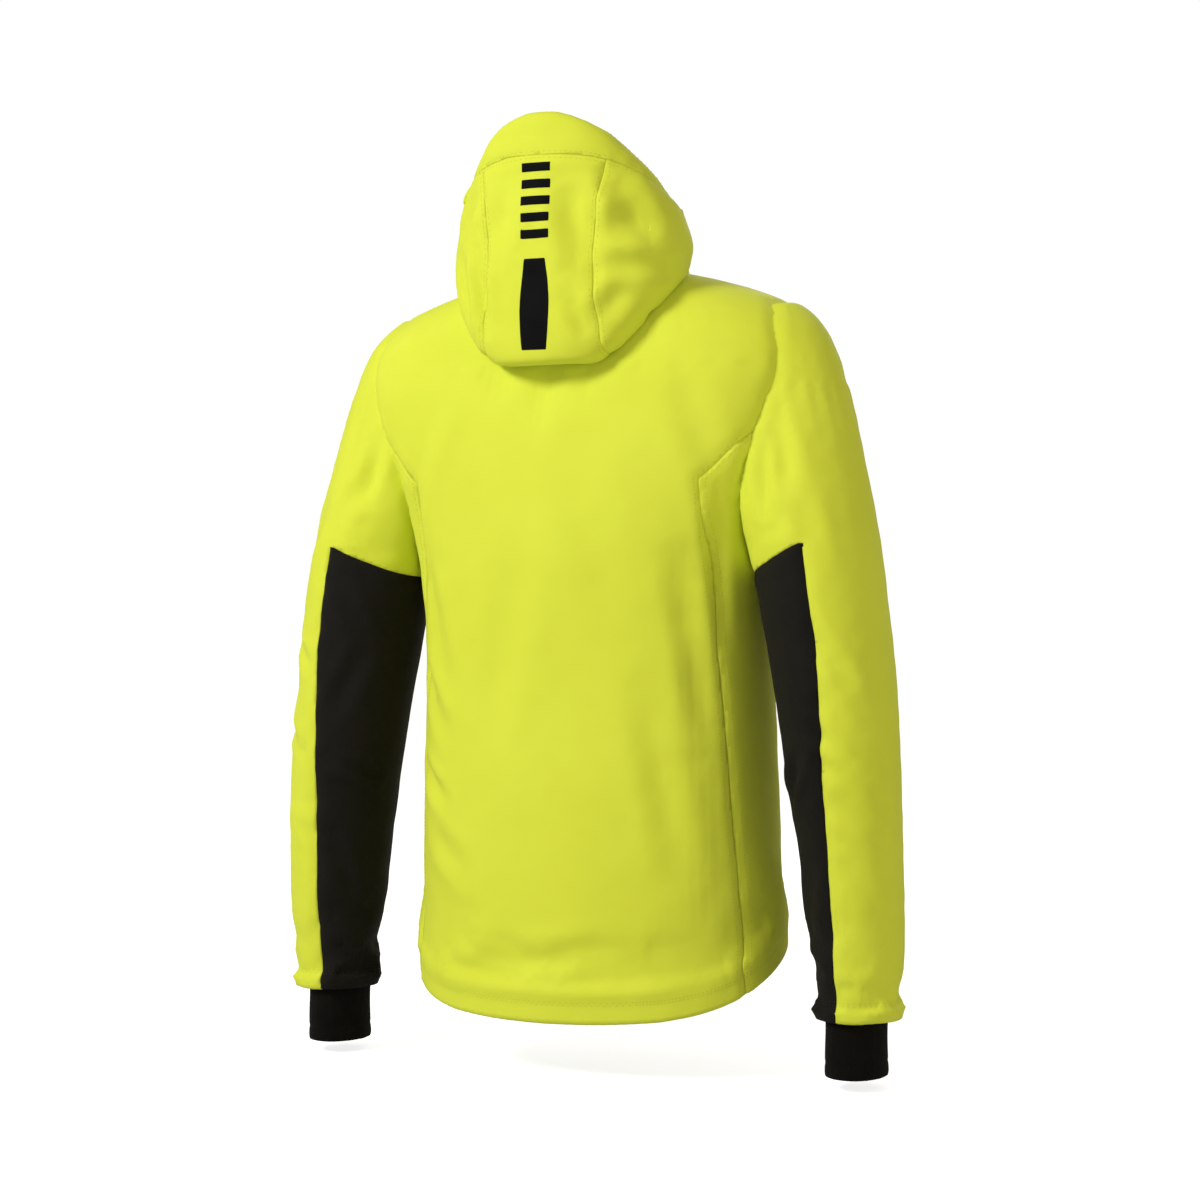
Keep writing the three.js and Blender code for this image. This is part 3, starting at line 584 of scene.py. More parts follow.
def take_panel(name, net, labels, label, wall, material):
    """Lifts the faces with one label out of a net, as a padded panel."""
    bm = net.copy()
    shade = bm.verts.layers.float_vector.new("shade")
    for vert in bm.verts:
        vert[shade] = vert.normal
    bm.faces.ensure_lookup_table()
    other = [f for f, mark in zip(list(bm.faces), labels) if mark != label]
    bmesh.ops.delete(bm, geom=other, context="FACES")
    give_wall(bm, wall * MM)
    for face in bm.faces:
        face.smooth = True
    normals = [tuple(vert[shade]) for vert in bm.verts]
    piece = add_object(name, to_mesh(bm, name), material)
    piece.data.normals_split_custom_set_from_vertices(normals)
    return piece


def settle(piece, body, nodes):
    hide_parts(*nodes)
    if body:
        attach(piece, body)
    print(piece.name, len(piece.data.polygons), "faces")


# Seams seen from behind, on the wearer's left: height and half width. The right mirrors them.
SIDE_SEAM = ((-470, 182), (-372, 177), (-52, 158), (114, 152), (196, 236))
SLEEVE_SEAM = ((-470, 279), (-285, 276), (-50, 268), (75, 250))
HOOD_SEAM = ((200, 66), (262, 62), (330, 55), (378, 60), (440, 70))


def seam_side(points, seam):
    """How far points lie outboard of a seam line."""
    heights, widths = np.array(seam, float).T * MM
    return np.abs(points[:, 0]) - np.interp(points[:, 2] - AXIS.z, heights, widths)


# %% [markdown]
# Both sleeves and the body are netted and simulated before any is cut, because each armhole is
# the line where a sleeve's net comes out of the body's.

# %% Nets of the body and the sleeves
TORSO = ["back_panel"]
TORSO += [f"{part}_{side}" for part in ("side_panel", "front_panel") for side, _ in SIDES]
body_tree = solid_tree(TORSO)
pocket_boxes = []
for side, sign in SIDES:
    low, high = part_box(f"pocket_zip_{side}")
    along = Vector(JOINTS[f"pocket_zip_{side}"]["axis"])
    beside = Vector(JOINTS[f"pocket_pull_swing_{side}"]["axis"])
    middle = (Vector(low) + Vector(high)) / 2
    pocket_boxes.append((middle, along, beside))


def pocket_gap(points, half_width, half_length):
    """Below nought within a pocket's slot, seen square on."""
    gaps = []
    for middle, along, beside in pocket_boxes:
        arm = points - np.array(middle)
        u, v = np.abs(arm @ np.array(beside)), np.abs(arm @ np.array(along))
        depth = np.linalg.norm(arm, axis=1)
        slot = np.maximum(u - half_width * MM, v - half_length * MM)
        gaps.append(np.where(depth < 0.13, slot, 1.0))
    return np.minimum(*gaps)


def body_centre(z):
    return Vector((0, AXIS.y - 0.004, z))


def hem_heights(columns):
    heights = np.empty(columns)
    for c in range(columns):
        turn = 2 * math.pi * (c + 0.5) / columns
        out = Vector((math.cos(turn), math.sin(turn), 0))
        miss, hit = AXIS.z - 0.43, AXIS.z - 0.30
        for _ in range(12):
            middle = (miss + hit) / 2
            found = outside_reach(body_tree, body_centre(middle), out, 0.3)
            miss, hit = (middle, hit) if found != found else (miss, middle)
        heights[c] = hit if hit < AXIS.z - 0.305 else float("nan")
    known = ~np.isnan(heights)
    return np.interp(np.arange(columns), np.flatnonzero(known), heights[known])


BODY_COLUMNS, BODY_ROWS = 300, 200
hem = hem_heights(BODY_COLUMNS)
shoulder_top = AXIS.z + 0.3195
share = np.linspace(0, 1, BODY_ROWS)[:, None]
heights = hem[None, :] + 0.0022 + (shoulder_top - hem[None, :] - 0.0022) * share
body_points = lay_net(
    body_tree, heights, body_centre, 0.3, lambda p: pocket_gap(np.array([p]), 10.5, 87)[0] < 0
)
collar_tree = solid_tree(["collar"])
neck = lay_net(collar_tree, np.full((3, BODY_COLUMNS), AXIS.z + 0.323), body_centre, 0.3)[1:2]
climb = [body_points[-1:] * (1 - t) + neck * t for t in (0.35, 0.7, 1)]
body_points = np.concatenate([body_points] + climb)


def sleeve_centre(side):
    shoulder = Vector(JOINTS[f"shoulder_{side}"]["pos_m"])
    elbow = Vector(JOINTS[f"elbow_{side}"]["pos_m"])
    low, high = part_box(f"wrist_gaiter_{side}")
    wrist = Vector(((low[0] + high[0]) / 2, (low[1] + high[1]) / 2, low[2]))

    def centre(z):
        top, bottom = (shoulder, elbow) if z > elbow.z else (elbow, wrist)
        part = (top.z - z) / (top.z - bottom.z)
        spot = top.lerp(bottom, max(0.0, part))
        return Vector((spot.x, spot.y, z))

    return centre


BANDS = [(band, half) for band in ("upper", "elbow", "forearm") for half in ("outer", "inner")]
sleeve_nodes = {
    side: [f"sleeve_cap_{side}"] + [f"{band}_{half}_{side}" for band, half in BANDS]
    for side, _ in SIDES
}
sleeve_points = {}


def lid_rows(ring, count=7):
    """Rows that close the upper end of a tube, up to a small hole."""
    middle = ring.mean(axis=0)
    shares = 1 - np.arange(1, count + 1) / (count + 0.5)
    return middle + (ring - middle) * shares[:, None, None]


for side, _ in SIDES:
    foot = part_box(f"forearm_outer_{side}")[0][2]
    rows = np.linspace(foot + 0.002, AXIS.z + 0.2855, 206)
    heights = np.repeat(rows[:, None], 112, axis=1)
    sleeve_points[side] = lay_net(solid_tree(sleeve_nodes[side]), heights, sleeve_centre(side), 0.13)
print("body net", body_points.shape, "sleeve nets", sleeve_points["left"].shape)

# %% Soften the nets and run their cloth
body_net = tube_bmesh(body_points)
blur_net(body_net, 44)
sleeve_net = {}
for side, _ in SIDES:
    closed = np.concatenate([sleeve_points[side], lid_rows(sleeve_points[side][-1])])
    sleeve_net[side] = tube_bmesh(closed)
    high = [e for e in sleeve_net[side].edges if e.is_boundary and e.verts[0].co.z > AXIS.z + 0.2]
    bmesh.ops.holes_fill(sleeve_net[side], edges=high)
    blur_net(sleeve_net[side], 30)
moved = simulate_tube("body_cloth", body_points[4:180:4, ::3], 0.02, 1.2, 2.0, 20, 0.0035)
hand_over(body_net, *moved)
for side, _ in SIDES:
    coarse = sleeve_points[side][:186:3, ::3]
    moved = simulate_tube(f"sleeve_cloth_{side}", coarse, 0.06, 1.4, 0.5, 26, 0.007)
    hand_over(sleeve_net[side], *moved)


def draw_in(net, middle, foot, by, reach):
    """Tapers the last stretch of a tube, so that its hem doesn't flare."""
    for vert in net.verts:
        share = 1 - (vert.co.z - foot) / reach
        if share > 0:
            out = vert.co - middle(vert.co.z)
            out.z = 0
            vert.co -= out.normalized() * by * min(share, 1)


HEM_TAPER, TAPER_REACH = 0.0032, 0.04
for side, _ in SIDES:
    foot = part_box(f"forearm_outer_{side}")[0][2]
    draw_in(sleeve_net[side], sleeve_centre(side), foot, HEM_TAPER, TAPER_REACH)
body_surface = BVHTree.FromBMesh(body_net)
sleeve_surface = {side: BVHTree.FromBMesh(net) for side, net in sleeve_net.items()}

# %% [markdown]
# The body is a back panel, two side panels and two front panels, all of one padded lime cloth.
# The side panel's seam climbs from the hem and turns out to the armhole. The back hangs almost
# flat, with long shallow folds beside that seam and a few dents above the hem.

# %% Body panels
BODY_STROKES = [
    ((-135, 105, 215), (-176, 82, 60), 2.6, 15),
    ((-150, 88, 120), (-166, 70, -40), 2.0, 9),
    ((-128, 104, 40), (-150, 84, -120), 1.8, 12),
    ((-100, 118, -90), (-130, 100, -260), 1.7, 14),
    ((120, 104, 190), (160, 84, 60), 2.4, 13),
    ((150, 84, 40), (120, 106, -80), 1.8, 13),
    ((164, 66, -60), (118, 106, -130), 2.0, 11),
    ((162, 70, -165), (122, 104, -196), 2.6, 9),
    ((140, 92, -230), (96, 116, -262), 1.8, 12),
    ((-60, 126, -330), (40, 128, -352), 1.4, 10),
    ((30, 127, 40), (60, 123, -140), 1.4, 18),
    ((-30, 127, 140), (-70, 124, -20), 1.2, 20),
]
sculpt(body_net, BODY_STROKES, (0.7, 60, 7, (1, 1, 0.5)), (0.25, 22, 8))

slot_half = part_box("front_panel_left")[0][0]
SHOULDER_SEAM = (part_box("back_panel")[0][1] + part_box("front_panel_left")[1][1]) / 2 - 0.012


def side_gap(points):
    return np.where(points[:, 2] < AXIS.z + 0.196, seam_side(points, SIDE_SEAM), -1.0)


def armhole_gap(points):
    near = np.where(points[:, 0] > 0, "left", "right")
    return np.array([signed_gap(sleeve_surface[s], [p])[0] for s, p in zip(near, points)])


UNDERARM_TOP = AXIS.z + 0.19


def armhole_cut(points):
    """The armhole's opening, with the cloth kept whole where a raised arm would bare it."""
    return np.maximum(armhole_gap(points) + 0.009, UNDERARM_TOP - points[:, 2])


def slot_gap(points):
    return np.where(points[:, 1] < SHOULDER_SEAM, np.abs(points[:, 0]) - slot_half - 0.0018, 1.0)


cut_along(body_net, armhole_cut(points_in(body_net)), HIDDEN)
drop_faces(body_net, lambda middles: armhole_cut(middles) < 0)
cut_along(body_net, slot_gap(points_in(body_net)), TURNED)
cut_along(body_net, pocket_gap(points_in(body_net), 10.2, 85.4), TURNED)
drop_faces(body_net, lambda m: (slot_gap(m) < 0) | (pocket_gap(m, 10.2, 85.4) < 0))
cut_along(body_net, side_gap(points_in(body_net)), SEWN)
shoulder_line = points_in(body_net)
ahead = np.where(
    (shoulder_line[:, 2] > AXIS.z + 0.18) & (np.abs(shoulder_line[:, 0]) < 0.235),
    shoulder_line[:, 1] - SHOULDER_SEAM,
    1.0,
)
cut_along(body_net, ahead, SEWN)
layer = edge_layer(body_net)
for vert in body_net.verts:
    if vert.is_boundary and vert[layer] == 0:
        low_edge = vert.co.z < AXIS.z - 0.3
        vert[layer] = TURNED if low_edge else HIDDEN


def middles_of(bm):
    bm.faces.ensure_lookup_table()
    return np.array([f.calc_center_median() for f in bm.faces])


def body_label(middles):
    under = side_gap(middles) > 0
    front = middles[:, 1] < SHOULDER_SEAM
    kind = np.where(under, "side_panel", np.where(front, "front_panel", "back_panel"))
    return [
        k if k == "back_panel" else f"{k}_{'left' if x > 0 else 'right'}"
        for k, x in zip(kind, middles[:, 0])
    ]


labels = body_label(middles_of(body_net))
armhole_line = [v.co.copy() for v in body_net.verts if abs(armhole_gap(np.array([v.co]))[0]) < 0.0012]
sink_seams(body_net, 1.2, armhole_line)
for node in TORSO:
    panel = take_panel(f"{node}_cloth", body_net, labels, node, 8, LIME)
    settle(panel, "jacket", [node])

# %% [markdown]
# Each sleeve hangs in four stretches: the head that is set into the armhole, the upper arm, the
# elbow and the forearm. The outer half is lime, the inner half is black stretch cloth. Only the
# edge of the black cloth is a seam: the stretches are one cloth, parted where it bends.

# %% Sleeves
SLEEVE_STROKES = {
    "left": [
        ((262, 92, -160), (226, 60, -176), 4.2, 7),
        ((286, 84, -150), (318, 60, -128), 2.4, 8),
        ((300, 70, -40), (280, 96, -66), 2.2, 7),
        ((240, 96, 20), (226, 84, -34), 2.6, 8),
        ((222, 78, -40), (250, 96, -110), 2.4, 9),
        ((306, 60, -210), (280, 84, -236), 2.0, 8),
        ((262, 80, -236), (246, 66, -300), 1.6, 8),
        ((222, 84, 118), (250, 88, 70), 2.4, 9),
        ((206, 76, 160), (216, 86, 100), 2.6, 8),
        ((270, 76, 96), (290, 60, 30), 1.6, 11),
    ],
    "right": [
        ((-262, 98, -118), (-292, 80, -150), 3.0, 7),
        ((-272, 94, -150), (-316, 58, -190), 3.2, 8),
        ((-280, 86, -190), (-318, 56, -232), 2.4, 8),
        ((-282, 84, -60), (-300, 70, -120), 2.6, 8),
        ((-262, 100, -30), (-290, 82, -74), 2.2, 8),
        ((-244, 88, -150), (-230, 64, -190), 3.0, 8),
        ((-206, 86, 150), (-214, 90, 84), 3.4, 7),
        ((-216, 84, 168), (-236, 84, 110), 2.2, 10),
        ((-246, 90, 96), (-262, 88, 34), 2.0, 10),
        ((-290, 82, -250), (-314, 56, -300), 1.8, 9),
        ((-262, 76, -240), (-248, 60, -310), 1.8, 9),
    ],
}
CAP_END = (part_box("sleeve_cap_left")[0][2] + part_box("upper_inner_left")[1][2]) / 2
BENDS = [(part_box("upper_inner_left")[0][2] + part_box("elbow_inner_left")[1][2]) / 2]
BENDS.append((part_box("elbow_inner_left")[0][2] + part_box("forearm_inner_left")[1][2]) / 2)


def black_gap(points):
    """Below nought on the black panel of a sleeve."""
    outboard = seam_side(points, SLEEVE_SEAM)
    return np.maximum(outboard, points[:, 2] - CAP_END + 0.0005 - 0.42 * np.minimum(outboard, 0))


def sleeve_label(side, middles):
    names = []
    for z, black in zip(middles[:, 2], black_gap(middles) < 0):
        band = "upper" if z > BENDS[0] else "elbow" if z > BENDS[1] else "forearm"
        cap = z > CAP_END
        names.append(f"sleeve_cap_{side}" if cap else f"{band}_{'inner' if black else 'outer'}_{side}")
    return names


for side, sign in SIDES:
    net = sleeve_net[side]
    sculpt(net, SLEEVE_STROKES[side], (0.55, 34, 11, (1, 1, 0.7)), (0.3, 14, 12))
    cut_along(net, signed_gap(body_surface, points_in(net)) + 0.0095, HIDDEN)
    drop_faces(net, lambda middles: signed_gap(body_surface, middles) < -0.0095)
    for level in (CAP_END, *BENDS):
        cut_along(net, points_in(net)[:, 2] - level, HIDDEN)
    cut_along(net, black_gap(points_in(net)), SEWN)
    layer = edge_layer(net)
    for vert in net.verts:
        if vert.is_boundary and vert.co.z < AXIS.z - 0.39:
            vert[layer] = TURNED
    gaps = signed_gap(body_surface, points_in(net))
    line = [v.co.copy() for v, gap in zip(list(net.verts), gaps) if abs(gap) < 0.0012]
    labels = sleeve_label(side, middles_of(net))
    sink_seams(net, 1.2, line)
    for node in sleeve_nodes[side]:
        band, black = node.split("_")[0], "_inner_" in node
        panel = take_panel(f"{node}_cloth", net, labels, node, 7, STRETCH if black else LIME)
        ride = {"upper": f"arm_{side}", "forearm": f"forearm_{side}"}.get(band)
        settle(panel, ride, [node])
        low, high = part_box(node)
        if band == "sleeve":
            start = Vector(JOINTS[f"shoulder_{side}"]["pos_m"])
            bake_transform(panel)
        if band == "elbow":
            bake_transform(panel)

# %% [markdown]
# The hood is an egg that has been cut open for the face. Its net is the hull of its panels, run
# on past the mouth and then trimmed. Nothing fills the hood, so its cloth is dented: hollows
# beside the centre seams and folds on its right side. It rests on the shoulders, round the
# collar, and its neck band is hung on no body, so it stays put when the hood tips back.

# %% Hood
HOOD = ["hood_centre_panel", "hood_side_left", "hood_side_right", "hood_brim", "hood_neck_band"]
HOOD_STROKES = [
    ((-30, 146, 395), (-52, 142, 318), 3.8, 14),
    ((-76, 128, 398), (-104, 100, 340), 2.6, 12),
    ((-66, 140, 352), (-98, 110, 360), 2.6, 13),
    ((-70, 136, 320), (-112, 88, 314), 3.0, 9),
    ((30, 147, 400), (52, 142, 340), 2.2, 14),
    ((70, 134, 330), (60, 142, 262), 3.0, 9),
    ((92, 116, 330), (82, 124, 272), 2.8, 8),
    ((80, 122, 392), (104, 100, 352), 2.6, 11),
    ((-36, 149, 286), (-56, 144, 248), 2.2, 9),
    ((-84, 124, 296), (-60, 142, 262), 2.2, 10),
]
HINGE = Vector(JOINTS["hood_tilt"]["pos_m"])


def mouth_gap(points):
    """Above nought ahead of the mouth, whose plane rises one in one."""
    points = np.atleast_2d(points)
    return (points[:, 2] - AXIS.z) - (points[:, 1] - AXIS.y) - 0.353


def brim_gap(points):
    return (points[:, 2] - AXIS.z) - 0.4 * (points[:, 1] - AXIS.y) - 0.367


def band_gap(points):
    """Below nought on the neck band, round the hinge and ahead of it."""
    arm = np.hypot(points[:, 1] - HINGE.y, points[:, 2] - HINGE.z)
    round_hinge = np.maximum(arm - 0.118, np.abs(points[:, 0]) - 0.099)
    return np.minimum(round_hinge, points[:, 1] - HINGE.y - 0.002)


def hull_net(nodes, extra=None, voxel=None):
    bm = merged_copy(nodes)
    for point in extra(bm) if extra else []:
        bm.verts.new(point)
    spare = bmesh.ops.convex_hull(bm, input=bm.verts)
    waste = spare["geom_interior"] + spare["geom_unused"]
    waste = {v for v in waste if isinstance(v, bmesh.types.BMVert)}
    bmesh.ops.delete(bm, geom=list(waste), context="VERTS")
    inner = [f for f in bm.faces if f.calc_area() == 0]
    bmesh.ops.delete(bm, geom=inner, context="FACES_ONLY")
    if voxel:
        piece = add_object("hull", to_mesh(bm, "hull"))
        remesh = piece.modifiers.new("net", "REMESH")
        remesh.voxel_size = voxel
        bake_modifiers(piece)
        bm = bmesh.new()
        bm.from_mesh(piece.data)
        bpy.data.objects.remove(piece)
    bm.verts.ensure_lookup_table()
    bm.verts.index_update()
    bm.normal_update()
    return bm


def bake_modifiers(piece):
    graph = bpy.context.evaluated_depsgraph_get()
    baked = bpy.data.meshes.new_from_object(piece.evaluated_get(graph))
    piece.modifiers.clear()
    piece.data = baked


def below_collar(bm):
    return [v.co - Vector((0, 0, 0.045)) for v in bm.verts]


hood_net = hull_net(HOOD, None, 0.003)
hood_free = np.clip(-mouth_gap(points_in(hood_net)) / 0.018, 0, 1)[:, None]
blur_net(hood_net, 36, hood_free)
sculpt(hood_net, HOOD_STROKES, (0.9, 30, 5), (0.3, 13, 6))
collar_hull = hull_net(["collar"], below_collar)
collar_surface = BVHTree.FromBMesh(collar_hull)


def shoulder_gap(points):
    over_body = signed_gap(body_surface, points) - 0.0022
    return np.minimum(over_body, signed_gap(collar_surface, points) - 0.0012)


cut_along(hood_net, mouth_gap(points_in(hood_net)) + 0.0015, TURNED)
drop_faces(hood_net, lambda middles: mouth_gap(middles) > -0.0015)
cut_along(hood_net, shoulder_gap(points_in(hood_net)), TURNED)
drop_faces(hood_net, lambda middles: shoulder_gap(middles) < 0)
cut_along(hood_net, band_gap(points_in(hood_net)), HIDDEN)
points = points_in(hood_net)
cut_along(hood_net, np.where(band_gap(points) > -0.001, brim_gap(points), 1), SEWN)


def hood_seam_gap(points):
    between = (brim_gap(points) < 0.001) & (band_gap(points) > -0.001)
    return np.where(between, seam_side(points, HOOD_SEAM), 1)


cut_along(hood_net, hood_seam_gap(points_in(hood_net)), SEWN)


def hood_label(middles):
    names = []
    for x, seam, brim, band in zip(
        middles[:, 0], hood_seam_gap(middles), brim_gap(middles), band_gap(middles)
    ):
        side = "hood_side_left" if x > 0 else "hood_side_right"
        panel = "hood_brim" if brim > 0 else "hood_centre_panel" if seam < 0 else side
        names.append("hood_neck_band" if band < 0 else panel)
    return names


labels = hood_label(middles_of(hood_net))
sink_seams(hood_net, 1.1)
for node in HOOD:
    panel = take_panel(f"{node}_cloth", hood_net, labels, node, 7, LIME)
    settle(panel, None if node == "hood_neck_band" else "hood", [node])
    if node == "hood_neck_band":
        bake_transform(panel)


# %% [markdown]
# A graded mark runs down the back of the hood. Here it is plain: five equal dashes over one
# long band, cut from the hood's own surface and raised by the thickness of a print. The hood's
# adjuster tab is lifted from the same surface.


# %% Stripe and tab of the hood
def applique(name, field, zone, rounds, raise_by, wall, material):
    bm = hood_net.copy()
    other = [f for f in bm.faces if not zone(f.calc_center_median())]
    bmesh.ops.delete(bm, geom=other, context="FACES")
    for _ in range(rounds):
        bmesh.ops.triangulate(bm, faces=bm.faces[:])
        bmesh.ops.subdivide_edges(bm, edges=bm.edges[:], cuts=1)
    bm.verts.ensure_lookup_table()
    bm.verts.index_update()
    bm.normal_update()
    for vert in bm.verts:
        vert[edge_layer(bm)] = 0
    push_net(bm, np.full(len(bm.verts), raise_by * MM))
    cut_along(bm, field(points_in(bm)), TURNED)
    drop_faces(bm, lambda middles: field(middles) > 0)
    give_wall(bm, wall * MM)
    for face in bm.faces:
        face.smooth = True
    piece = add_object(name, to_mesh(bm, name), material)
    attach(piece, "hood")
    print(name, len(piece.data.polygons), "faces")
    return piece


def stripe_gap(points):
    x, z = np.abs(points[:, 0]), points[:, 2] - AXIS.z
    middle = np.clip((z - 0.238) / 0.087, 0, 1)
    width = 0.0125 + 0.0035 * np.sin(math.pi * middle) - 0.0015 * middle
    gap = np.maximum(x - width, np.abs(z - 0.2815) - 0.0435)
    for step in range(5):
        gap = np.minimum(gap, np.maximum(x - 0.015, np.abs(z - 0.3485 - 0.016 * step) - 0.0042))
    return gap


def on_back(p):
    return abs(p.x) < 0.022 and p.y > AXIS.y + 0.1


applique("hood_stripe", stripe_gap, on_back, 2, 0.35, 0.4, PRINT)
hood_surface = BVHTree.FromBMesh(hood_net)


def strap(name, place, width, height, thick, material):
    """A short strap that lies on the hood, with its edges a little rounded."""
    bm = bmesh.new()
    layer = edge_layer(bm)
    bmesh.ops.create_grid(bm, x_segments=6, y_segments=8, size=0.5)
    near, facing, _, _ = hood_surface.find_nearest(place)
    side = Vector((0, 0, 1)).cross(facing).normalized()
    rise = facing.cross(side)
    for vert in bm.verts:
        spot = near + side * vert.co.x * width * MM + rise * vert.co.y * height * MM
        touch, normal, _, _ = hood_surface.find_nearest(spot)
        edge = max(abs(vert.co.x), abs(vert.co.y)) * 2
        vert.co = touch + normal * thick * MM * (1 - 0.45 * edge**6)
        vert[layer] = TURNED
    give_wall(bm, thick * MM)
    for face in bm.faces:
        face.smooth = True
    piece = add_object(name, to_mesh(bm, name), material)
    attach(piece, "hood")


strap("hood_tab", at(92, 96, 398), 11, 26, 2.2, LIME)

# %% [markdown]
# The gaiter is a close knit tube that hangs from inside the sleeve. Its lower edge is turned
# and sewn, which shows as a slightly thicker rim. The collar stands inside the hood.


# %% Gaiters and collar
def points_of(mesh):
    flat = np.empty(len(mesh.vertices) * 3, np.float32)
    mesh.vertices.foreach_get("co", flat)
    return flat.reshape(-1, 3).astype(float)


def normals_of(mesh):
    flat = np.empty(len(mesh.vertices) * 3, np.float32)
    mesh.vertices.foreach_get("normal", flat)
    return flat.reshape(-1, 3).astype(float)


def set_points(mesh, points):
    mesh.vertices.foreach_set("co", points.astype(np.float32).ravel())
    mesh.update()


def skin(name, nodes, voxel, rounds, material):
    """An even closed skin over some solids, softened without thinning it."""
    piece = add_object(name, to_mesh(merged_copy(nodes), name))
    remesh = piece.modifiers.new("skin", "REMESH")
    remesh.voxel_size = voxel
    bake_modifiers(piece)
    mesh = piece.data
    mesh.materials.clear()
    mesh.materials.append(material)
    ends = np.empty(len(mesh.edges) * 2, np.int32)
    mesh.edges.foreach_get("vertices", ends)
    a, b = ends.reshape(-1, 2).T
    near = np.bincount(a, minlength=len(mesh.vertices)) + np.bincount(b, minlength=len(mesh.vertices))
    points = points_of(mesh)
    for step in range(2 * rounds):
        factor = 0.5 if step % 2 == 0 else -0.52
        for k in range(3):
            total = np.bincount(a, points[b, k], len(near)) + np.bincount(b, points[a, k], len(near))
            points[:, k] += factor * (total / near - points[:, k])
    set_points(mesh, points)
    mesh.polygons.foreach_set("use_smooth", [True] * len(mesh.polygons))
    return piece


for side, sign in SIDES:
    node = f"wrist_gaiter_{side}"
    gaiter = skin(f"{node}_knit", [node], 0.0021, 16, KNIT)
    low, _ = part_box(node)
    points, normals = points_of(gaiter.data), normals_of(gaiter.data)
    height = (points[:, 2] - low[2]) / MM
    rim = 0.5 * np.exp(-(((height - 5) / 6) ** 2)) - 0.55 * np.exp(-(((height - 13.5) / 1.6) ** 2))
    rim += 0.3 * np.sin(height / 9 + 100 * points[:, 0])
    set_points(gaiter.data, points + normals * (rim * MM)[:, None])
    settle(gaiter, f"forearm_{side}", [node])

collar = skin("collar_cloth", ["collar"], 0.0022, 10, LIME)
settle(collar, "jacket", ["collar"])

# %% [markdown]
# The front zip gets its teeth one by one. Each half is a woven tape with a row of teeth clamped to
# its edge, and the two rows stand half a tooth apart, as they do when they are drawn together.


# %% Zips with teeth
def zip_half(name, node, body, foot, up, across, inward, length, gauge, side):
    bm = bmesh.new()

    def block(low, high):
        low, high = (Vector(v) * MM * gauge for v in (low, high))
        size, middle = high - low, (low + high) / 2
        made = bmesh.ops.create_cube(bm, size=1)["verts"]
        for vert in made:
            spot = Vector(c * s for c, s in zip(vert.co, size)) + middle
            vert.co = foot + across * spot.x * side + inward * spot.y + up * spot.z
        return made

    edge = 10.6 if gauge == 1 else 10.4
    block((2.2, 2.35, 0), (edge, 3.65, length / gauge))
    pitch, count = 2.7, int(length / gauge / 2.7) - 1
    for step in range(count):
        base = step * pitch + (0.2 if side > 0 else 0.2 + pitch / 2)
        block((0.6, 1.3, base), (2.6, 4.7, base + 1.25))
        block((2.4, 0.9, base + 0.1), (3.8, 5.1, base + 1.15))
    bmesh.ops.recalc_face_normals(bm, faces=bm.faces)
    piece = add_object(name, to_mesh(bm, name), TEETH)
    piece.data.materials.append(TAPE)
    for face in list(piece.data.polygons)[:6]:
        face.material_index = 1
    if node:
        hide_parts(node)
    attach(piece, body)
    return piece


up = -Vector(JOINTS["front_zip"]["axis"])
across = Vector((1, 0, 0))
foot = at(0, -138, -330) + up * 0.013
length = (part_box("zip_tape_left")[1][2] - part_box("zip_tape_left")[0][2]) / up.z / MM
for side, sign in SIDES:
    facing = up.cross(across)
    names = (f"front_teeth_{side}", f"zip_tape_{side}", "jacket")
    zip_half(*names, foot, up, across, facing, length, 1, sign)
print("front zip: two rows of", int(length / 2.7) - 1, "teeth,", round(length), "mm")

# %% [markdown]
# Rows of stitches run beside the body's side seams and the hood's centre and brim seams, and
# round the body's hem, the wrists and the hood's opening, one small bead of thread each. They
# lie on the cloth where it ended up, so they follow every fold.


# %% Stitching
def row_on(net, values, wanted, order):
    """The line where a value of a net's points changes sign, in order, with its normals."""
    places = []
    for edge in net.edges:
        a, b = edge.verts
        va, vb = values[a.index], values[b.index]
        if va * vb < 0:
            share = va / (va - vb)
            place = a.co.lerp(b.co, share)
            if wanted(place):
                places.append((order(place), place, a.normal.lerp(b.normal, share).normalized()))
    places.sort(key=lambda entry: entry[0])
    return places


def sew(bm, places, pitch=3.3, jump=12):
    """Adds a bead of thread at even steps along a row."""
    travelled, since = 0.0, pitch * MM
    for (_, a, normal), (_, b, _) in zip(places, places[1:]):
        step = (b - a).length
        if step > jump * MM or step == 0:
            continue
        since += step
        if since < pitch * MM:
            continue
        since = 0.0
        along = (b - a).normalized()
        side = normal.cross(along).normalized()
        rise = along.cross(side)
        made = bmesh.ops.create_icosphere(bm, subdivisions=1, radius=1)["verts"]
        for vert in made:
            x, y, z = vert.co * MM
            vert.co = a + along * x * 1.15 + side * y * 0.28 + rise * (z * 0.24 + 0.00004)
        travelled += 1
    return int(travelled)


def stitches(name, rows, material, body):
    bm = bmesh.new()
    count = sum(sew(bm, row) for row in rows)
    for face in bm.faces:
        face.smooth = True
    piece = add_object(name, to_mesh(bm, name), material)
    if body:
        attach(piece, body)
    print(name, count, "stitches")
    return piece


def turn_of(place):
    return math.atan2(place.y - AXIS.y, place.x)


